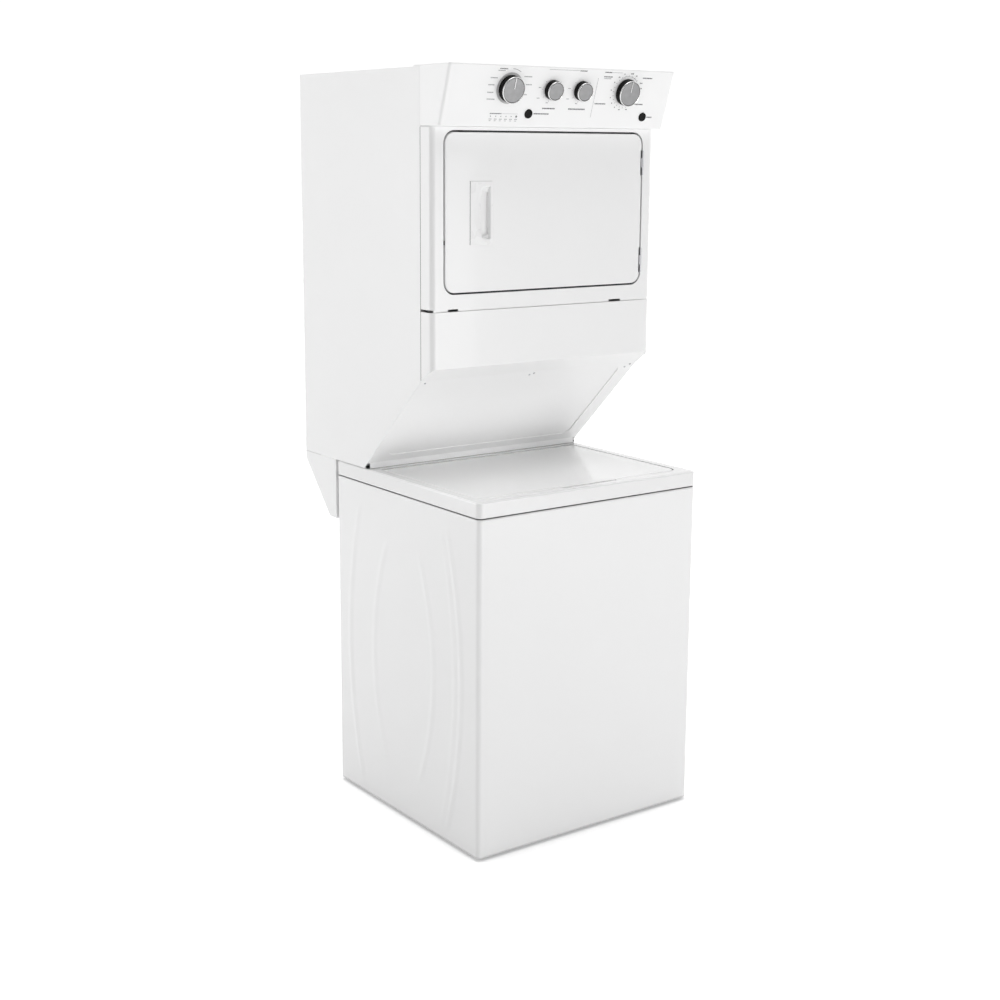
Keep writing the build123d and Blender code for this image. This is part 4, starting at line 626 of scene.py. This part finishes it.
def make_pull():
    """Flush door pull: plate with a lens-shaped scoop running into a deep slot."""
    xs = span(PULL_X0, PULL_X1, PULL_STEP)
    zs = span(PULL_Z0, PULL_Z1, PULL_STEP)
    rows, cols = len(zs), len(xs)
    verts = [(x, PULL_FACE + pull_depth(x, z), z) for z in zs for x in xs]
    faces = grid_faces(rows, cols)
    start = len(verts)
    rim = ((PULL_X0, PULL_Z0), (PULL_X1, PULL_Z0), (PULL_X1, PULL_Z1), (PULL_X0, PULL_Z1))
    verts += [(x, PULL_FACE + PULL_PLATE, z) for x, z in rim]
    edges = [range(cols), range(cols - 1, cols * rows, cols),
             range(cols * rows - 1, cols * (rows - 1) - 1, -1), range(cols * (rows - 1), -1, -cols)]
    for i, edge in enumerate(edges):
        faces.append((*edge, start + (i + 1) % 4, start + i))
    pull = add_mesh("door_pull", verts, faces, HANDLE, "dryer_door")
    fix_normals(pull)
    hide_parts("door_handle")


# ---------------------------------------------------------------- perforated basket
BASKET_R = 262.0
BASKET_SHEET = 1.2
TUB_Y = -81.95
HOLES_ROUND = 54
HOLE_ROWS = 14
HOLE_R = 2.6
HOLE_SIDES = 8
WALL_Z0 = 290.0
WALL_Z1 = 738.0
RIM_Z1 = 776.0
BASKET_FLOOR = ((20, 252), (BASKET_R - 40, 252), (BASKET_R - 14, 256), (BASKET_R - 3, 268),
                (BASKET_R - 0.8, WALL_Z0))
BASKET_RIM = ((BASKET_R - 0.8, WALL_Z1), (BASKET_R - 0.8, RIM_Z1))
BASKET_HUB = ((12.1, 262), (22, 262), (60, 259), (70, 254), (70, 242), (22, 238), (22, 134), (12.1, 134))


def basket_point(angle, z):
    """Point of the basket's wall."""
    return (BASKET_R * math.cos(angle) * 0.997, TUB_Y + BASKET_R * math.sin(angle) * 0.997, z)


def hole_patch(angle, z, width, pitch):
    """Points of one cell of the wall: its square outline, then its round hole."""
    turns = [2 * math.pi * (i + 0.5) / HOLE_SIDES for i in range(HOLE_SIDES)]
    outline, hole = [], []
    for t in turns:
        c, s = math.cos(t), math.sin(t)
        corner = max(abs(c), abs(s))
        outline.append(basket_point(angle + width / 2 * c / corner, z + pitch / 2 * s / corner))
        hole.append(basket_point(angle + HOLE_R / BASKET_R * c, z + HOLE_R * s))
    return outline + hole


def basket_wall():
    """Vertices and faces of the wall, its rows of holes staggered."""
    pitch = (WALL_Z1 - WALL_Z0) / HOLE_ROWS
    width = 2 * math.pi / HOLES_ROUND
    verts, faces = [], []
    n = HOLE_SIDES
    for row in range(HOLE_ROWS):
        for col in range(HOLES_ROUND):
            start = len(verts)
            verts += hole_patch(width * (col + 0.5 * (row % 2)), WALL_Z0 + pitch * (row + 0.5), width, pitch)
            for i in range(n):
                j = (i + 1) % n
                faces.append((start + i, start + j, start + n + j, start + n + i))
    return verts, faces


def tub_lathe(name, outline, finish, steps=108):
    """Turned piece about the tub's axis, riding on the basket."""
    verts, faces = lathe(outline, steps)
    return add_mesh(name, [(x, y + TUB_Y, z) for x, y, z in verts], faces, finish, "basket")


def make_basket():
    """Spin basket with rows of round holes, a rolled floor and a plain rim."""
    verts, faces = basket_wall()
    wall = add_mesh("basket_wall", verts, faces, STAINLESS, "basket", False)
    floor = tub_lathe("basket_floor", BASKET_FLOOR, STAINLESS)
    rim = tub_lathe("basket_rim", BASKET_RIM, STAINLESS)
    for piece in (wall, floor, rim):
        sheet_thickness(piece, BASKET_SHEET, 0)
    hub = tub_lathe("basket_hub", BASKET_HUB, STEEL, 72)
    fix_normals(hub)
    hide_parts("wash_basket")


# ---------------------------------------------------------------- small fittings
def screw_head(name, place, r, h):
    """Pan-head screw with a recess in its top, standing on its place's Z = 0."""
    outline = [(r, 0), (r, h * 0.4), (r * 0.8, h * 0.85), (r * 0.45, h), (r * 0.42, h * 0.4), (0.01, h * 0.4)]
    verts, faces = lathe(outline, 32)
    add_mesh(name, verts, faces, STEEL, "cabinet", place=place)


def frame_at(origin, normal):
    """Matrix at origin (mm) whose Z points along normal."""
    z = Vector(normal).normalized()
    x = Vector((1, 0, 0)) if abs(z.x) < 0.9 else Vector((0, 1, 0))
    x = (x - z * x.dot(z)).normalized()
    y = z.cross(x)
    m = Matrix((x, y, z)).transposed().to_4x4()
    m.translation = Vector(origin) * MM
    return m


SEAM_Y = -166.0
SLOPE_TOP_Z = 1163.5
SLOPE_FOOT = (100.0, 909.0)
SLOPE_ANGLE = math.atan2(SLOPE_TOP_Z - SLOPE_FOOT[1], SLOPE_FOOT[0] - SEAM_Y)
SLOPE_NORMAL = (0, -math.sin(SLOPE_ANGLE), -math.cos(SLOPE_ANGLE))
SLOPE_SCREWS = ((-330, 9), (330, 9), (-6, 14), (6, 9), (318, 20))   # X, distance down the slope


def make_slope_screws():
    """Screws that hold the sloped panel, near its upper corners and middle."""
    for i, (x, down) in enumerate(SLOPE_SCREWS):
        y = SEAM_Y + down * math.cos(SLOPE_ANGLE)
        z = SLOPE_TOP_Z - down * math.sin(SLOPE_ANGLE)
        screw_head(f"slope_screw_{i}", frame_at((x, y, z), SLOPE_NORMAL), 3.0, 1.4)


def ring_piece(name, half_w, half_h, zc, y0, y1, corner, width, finish, body):
    """Rounded rectangular ring between two depths, facing -Y."""
    outer = rounded_outline(-half_w, half_w, zc - half_h, zc + half_h, corner)
    half_w, half_h = half_w - width, half_h - width
    inner = rounded_outline(-half_w, half_w, zc - half_h, zc + half_h, corner - width)
    loops = [(outer, y1), (outer, y0), (inner, y0), (inner, y1)]
    verts = [(x, y, z) for loop, y in loops for x, z in loop]
    n = len(outer)
    faces = []
    for k in range(4):
        m = (k + 1) % 4
        faces += [(k * n + i, k * n + (i + 1) % n, m * n + (i + 1) % n, m * n + i) for i in range(n)]
    fix_normals(add_mesh(name, verts, faces, finish, body))


def cuboid(name, x, y, z, finish, body="cabinet"):
    """Box between two values on each axis."""
    verts = [(px, py, pz) for pz in z for py in y for px in x]
    faces = [(0, 2, 3, 1), (4, 5, 7, 6), (0, 1, 5, 4), (2, 6, 7, 3), (0, 4, 6, 2), (1, 3, 7, 5)]
    add_mesh(name, verts, faces, finish, body, False)


SIDE_X = 346.075
SEAM_HALF = 0.75
DOOR_Z = 1571.0
PANEL_Y = -214.0
DOOR_Y = -215.0
# The strips at this depth are painted shade: dark blocks set into the door's gap.
GAP_DEPTH = (-213.0, -207.0)       # Y of the parts seen inside the door's gap
HINGE_ZS = ((1407.0, 1472.0), (1658.0, 1720.0))


def skin_of(y):
    """Depth of a thin strip laid into the face at y."""
    return (y - 0.1, y + 0.5)


def make_seam_shadows_and_hinges():
    """Dark strips of painted shade in the seams and in the gap round the dryer's door, with the hinge leaves
    beside it.
    """
    # Dark ring deep in the door's gap: partly a seal, partly painted shade that darkens the gap.
    ring_piece("door_gap_seal_and_shade", 311.9, 195.4, DOOR_Z, -206.0, -199.0, 31.9, 3.9, SEAL_AND_GAP_SHADE, "cabinet")
    for side, name in ((-1, "left"), (1, "right")):
        edge = sorted((side * (SIDE_X - 0.6), side * (SIDE_X + 0.12)))
        seam = (SEAM_Y - SEAM_HALF, SEAM_Y + SEAM_HALF)
        # Painted shade: a dark strip along the seam where the side meets the front's wrap.
        cuboid(f"side_seam_shadow_{name}", edge, seam, (1166.0, 1774.0), SHADOW)
        # Painted shade: dark blocks in the gaps at both corners, just above the deck.
        corner = sorted((side * 330.0, side * 344.0))
        cuboid(f"foot_gap_shadow_{name}", corner, (92.5, 98.0), (904.4, 911.0), SHADOW)
    # Painted shade: dark blocks in the door's gap, at its top and its left side.
    cuboid("door_gap_shadow_top", (-264.0, -256.0), GAP_DEPTH, (1763.2, 1766.2), SHADOW)
    cuboid("door_gap_shadow_left", (-311.6, -308.0), GAP_DEPTH, (1496.0, 1506.0), SHADOW)
    for i, (z0, z1) in enumerate(HINGE_ZS):
        cuboid(f"door_hinge_leaf_{i}", (308.3, 312.4), (PULL_FACE + 1.0, PULL_FACE + 8.0), (z0, z1), ZINC)
        # Painted shade: a dark line in the gap beside each hinge leaf.
        cuboid(f"door_hinge_gap_shadow_{i}", (313.0, 314.4), skin_of(PANEL_Y), (z0 + 4.0, z1 - 4.0), SHADOW)
    # Painted shade: dark line along the door pull's left edge.
    cuboid("door_pull_seam_shadow", (PULL_X0 - 1.0, PULL_X0 + 0.2), skin_of(DOOR_Y), (PULL_Z0, PULL_Z1), SEAL_AND_GAP_SHADE,
           "dryer_door")


LID_X = 316.0
LID_FRONT = -373.0
LID_BACK = 62.0
LID_PULL_Z = 899.2
LID_PULL_SPANS = ((-64.0, -30.0, 1.0), (-30.0, 60.0, 0.5), (60.0, 98.0, 1.0))   # X, X, half height
LID_HINGE_GAPS = ((0.0, 9.0), (14.0, 14.0), (34.0, 5.0))                        # from the back, length


def make_lid_shadows():
    """Painted shadow strips under the lid's front edge, where its finger recess is, and at the open ends of
    its hinge groove.
    """
    for i, (x0, x1, half) in enumerate(LID_PULL_SPANS):
        # Painted shadow: dark strips along the lid's front edge for the finger recess.
        cuboid(f"lid_pull_shadow_{i}", (x0, x1), (LID_FRONT - 0.15, LID_FRONT + 1.0),
               (LID_PULL_Z - half, LID_PULL_Z + half), SHADOW, "lid")
    for i, (back, length) in enumerate(LID_HINGE_GAPS):
        y1 = LID_BACK - back
        # Painted shadow: dark strips at the open ends of the hinge groove.
        cuboid(f"lid_hinge_gap_shadow_{i}", (-LID_X - 1.6, -LID_X - 0.2), (y1 - length, y1), (898.0, 901.5), SHADOW)


# ---------------------------------------------------------------- floor, light, camera
FLOOR_HALF = 40000.0
FLOOR_Z = -0.5


def make_stage():
    """Wide white floor, lifted to the backdrop's white where the camera sees it."""
    half = FLOOR_HALF
    verts = [(-half, -half, FLOOR_Z), (half, -half, FLOOR_Z), (half, half, FLOOR_Z), (-half, half, FLOOR_Z)]
    mesh = bpy.data.meshes.new("floor")
    mesh.from_pydata([Vector(v) * MM for v in verts], [], [(0, 1, 2, 3)])
    mesh.materials.append(FLOOR)
    floor = bpy.data.objects.new("floor", mesh)
    bpy.context.scene.collection.objects.link(floor)
    tree = FLOOR.node_tree
    shader = tree.nodes["Principled BSDF"]
    shader.inputs["Emission Color"].default_value = (1, 1, 1, 1)
    tree.links.new(seen_or(tree, 0.0, FLOOR_LIFT), shader.inputs["Emission Strength"])


def area_light(name, place, target, size, power, spread):
    """Rectangular softbox that the camera doesn't see."""
    data = bpy.data.lights.new(name, "AREA")
    data.shape = "RECTANGLE"
    data.size, data.size_y = size
    data.energy = power
    data.spread = math.radians(spread)
    obj = bpy.data.objects.new(name, data)
    bpy.context.scene.collection.objects.link(obj)
    obj.location = place
    obj.rotation_mode = "QUATERNION"
    obj.rotation_quaternion = (Vector(target) - Vector(place)).to_track_quat("-Z", "Y")
    obj.visible_camera = False


BACKDROP_SIDE = (0.59, 0.81, 0.0)  # direction of the bright backdrop behind the machine
DIM_SIDE_LIGHT = 0.30
BACKDROP_LIGHT = 1.02
WORLD_SEEN = 1.05
CEILING_POWER = 1.1
FLOOR_LIFT = 0.31
CEILING_SOFTNESS = math.radians(50)
SOFTBOXES = (                      # name, place, target, width and height, power, spread in degrees
    ("right_softbox", (1.3, -4.5, 0.85), (0.0, -0.2, 0.95), (2.6, 1.7), 53, 180),
    ("left_softbox", (-3.3, 2.5, 1.6), (-0.2, 0.1, 1.1), (2.0, 2.4), 39, 180),
    ("cavity_fill", (-0.08, -0.50, 0.985), (-0.08, 0.09, 0.915), (0.6, 0.06), 0.17, 60),
)



def seen_or(tree, lit, seen):
    """A strength of seen to the eye and of lit to everything else."""
    path = tree.nodes.new("ShaderNodeLightPath")
    pick = tree.nodes.new("ShaderNodeMix")
    tree.links.new(path.outputs["Is Camera Ray"], pick.inputs["Factor"])
    if isinstance(lit, (int, float)):
        pick.inputs["A"].default_value = lit
    else:
        tree.links.new(lit, pick.inputs["A"])
    pick.inputs["B"].default_value = seen
    return pick.outputs["Result"]


def make_world():
    """White backdrop behind the machine, a dimmer room on the viewer's side."""
    world = bpy.data.worlds.new("studio")
    world.use_nodes = True
    bpy.context.scene.world = world
    tree = world.node_tree
    back = tree.nodes["Background"]
    back.inputs["Color"].default_value = (1, 1, 1, 1)
    coords = tree.nodes.new("ShaderNodeTexCoord")
    facing = tree.nodes.new("ShaderNodeVectorMath")
    facing.operation = "DOT_PRODUCT"
    tree.links.new(coords.outputs["Generated"], facing.inputs[0])
    facing.inputs[1].default_value = BACKDROP_SIDE
    ramp = tree.nodes.new("ShaderNodeMapRange")
    ramp.interpolation_type = "SMOOTHSTEP"
    ramp.inputs["From Min"].default_value = -0.4
    ramp.inputs["From Max"].default_value = 0.6
    ramp.inputs["To Min"].default_value = DIM_SIDE_LIGHT
    ramp.inputs["To Max"].default_value = BACKDROP_LIGHT
    tree.links.new(facing.outputs["Value"], ramp.inputs["Value"])
    tree.links.new(seen_or(tree, ramp.outputs["Result"], WORLD_SEEN), back.inputs["Strength"])


def make_light():
    """Studio light: the world, large softboxes and a soft ceiling."""
    make_world()
    for softbox in SOFTBOXES:
        area_light(*softbox)
    sky = bpy.data.lights.new("ceiling", "SUN")
    sky.energy = CEILING_POWER
    sky.angle = CEILING_SOFTNESS
    ceiling = bpy.data.objects.new("ceiling", sky)
    bpy.context.scene.collection.objects.link(ceiling)


def make_camera():
    """The camera that matches the main view."""
    data = bpy.data.cameras.new("camera")
    data.lens = CAMERA_LENS
    data.sensor_width = 36.0
    data.shift_x, data.shift_y = CAMERA_SHIFT
    data.clip_start, data.clip_end = 0.05, 60.0
    camera = bpy.data.objects.new("camera", data)
    bpy.context.scene.collection.objects.link(camera)
    turn = (Matrix.Rotation(math.radians(-CAMERA_YAW), 4, "Z")
            @ Matrix.Rotation(math.radians(90 - CAMERA_PITCH), 4, "X")
            @ Matrix.Rotation(math.radians(CAMERA_ROLL), 4, "Z"))
    camera.matrix_world = Matrix.Translation(CAMERA_PLACE) @ turn
    bpy.context.scene.camera = camera


def main():
    """Dresses the frame, adds the finer pieces and sets the scene."""
    dress_frame()
    make_washer_shell()
    for node, place in KNOBS.items():
        make_knob(node, *place)
    for node, (x, up, body) in BUTTONS.items():
        make_button(node, x, up, body)
    make_print()
    make_pull()
    make_basket()
    make_slope_screws()
    make_seam_shadows_and_hinges()
    make_lid_shadows()
    make_stage()
    make_light()
    make_camera()
    bpy.context.scene.view_settings.view_transform = "Standard"


main()
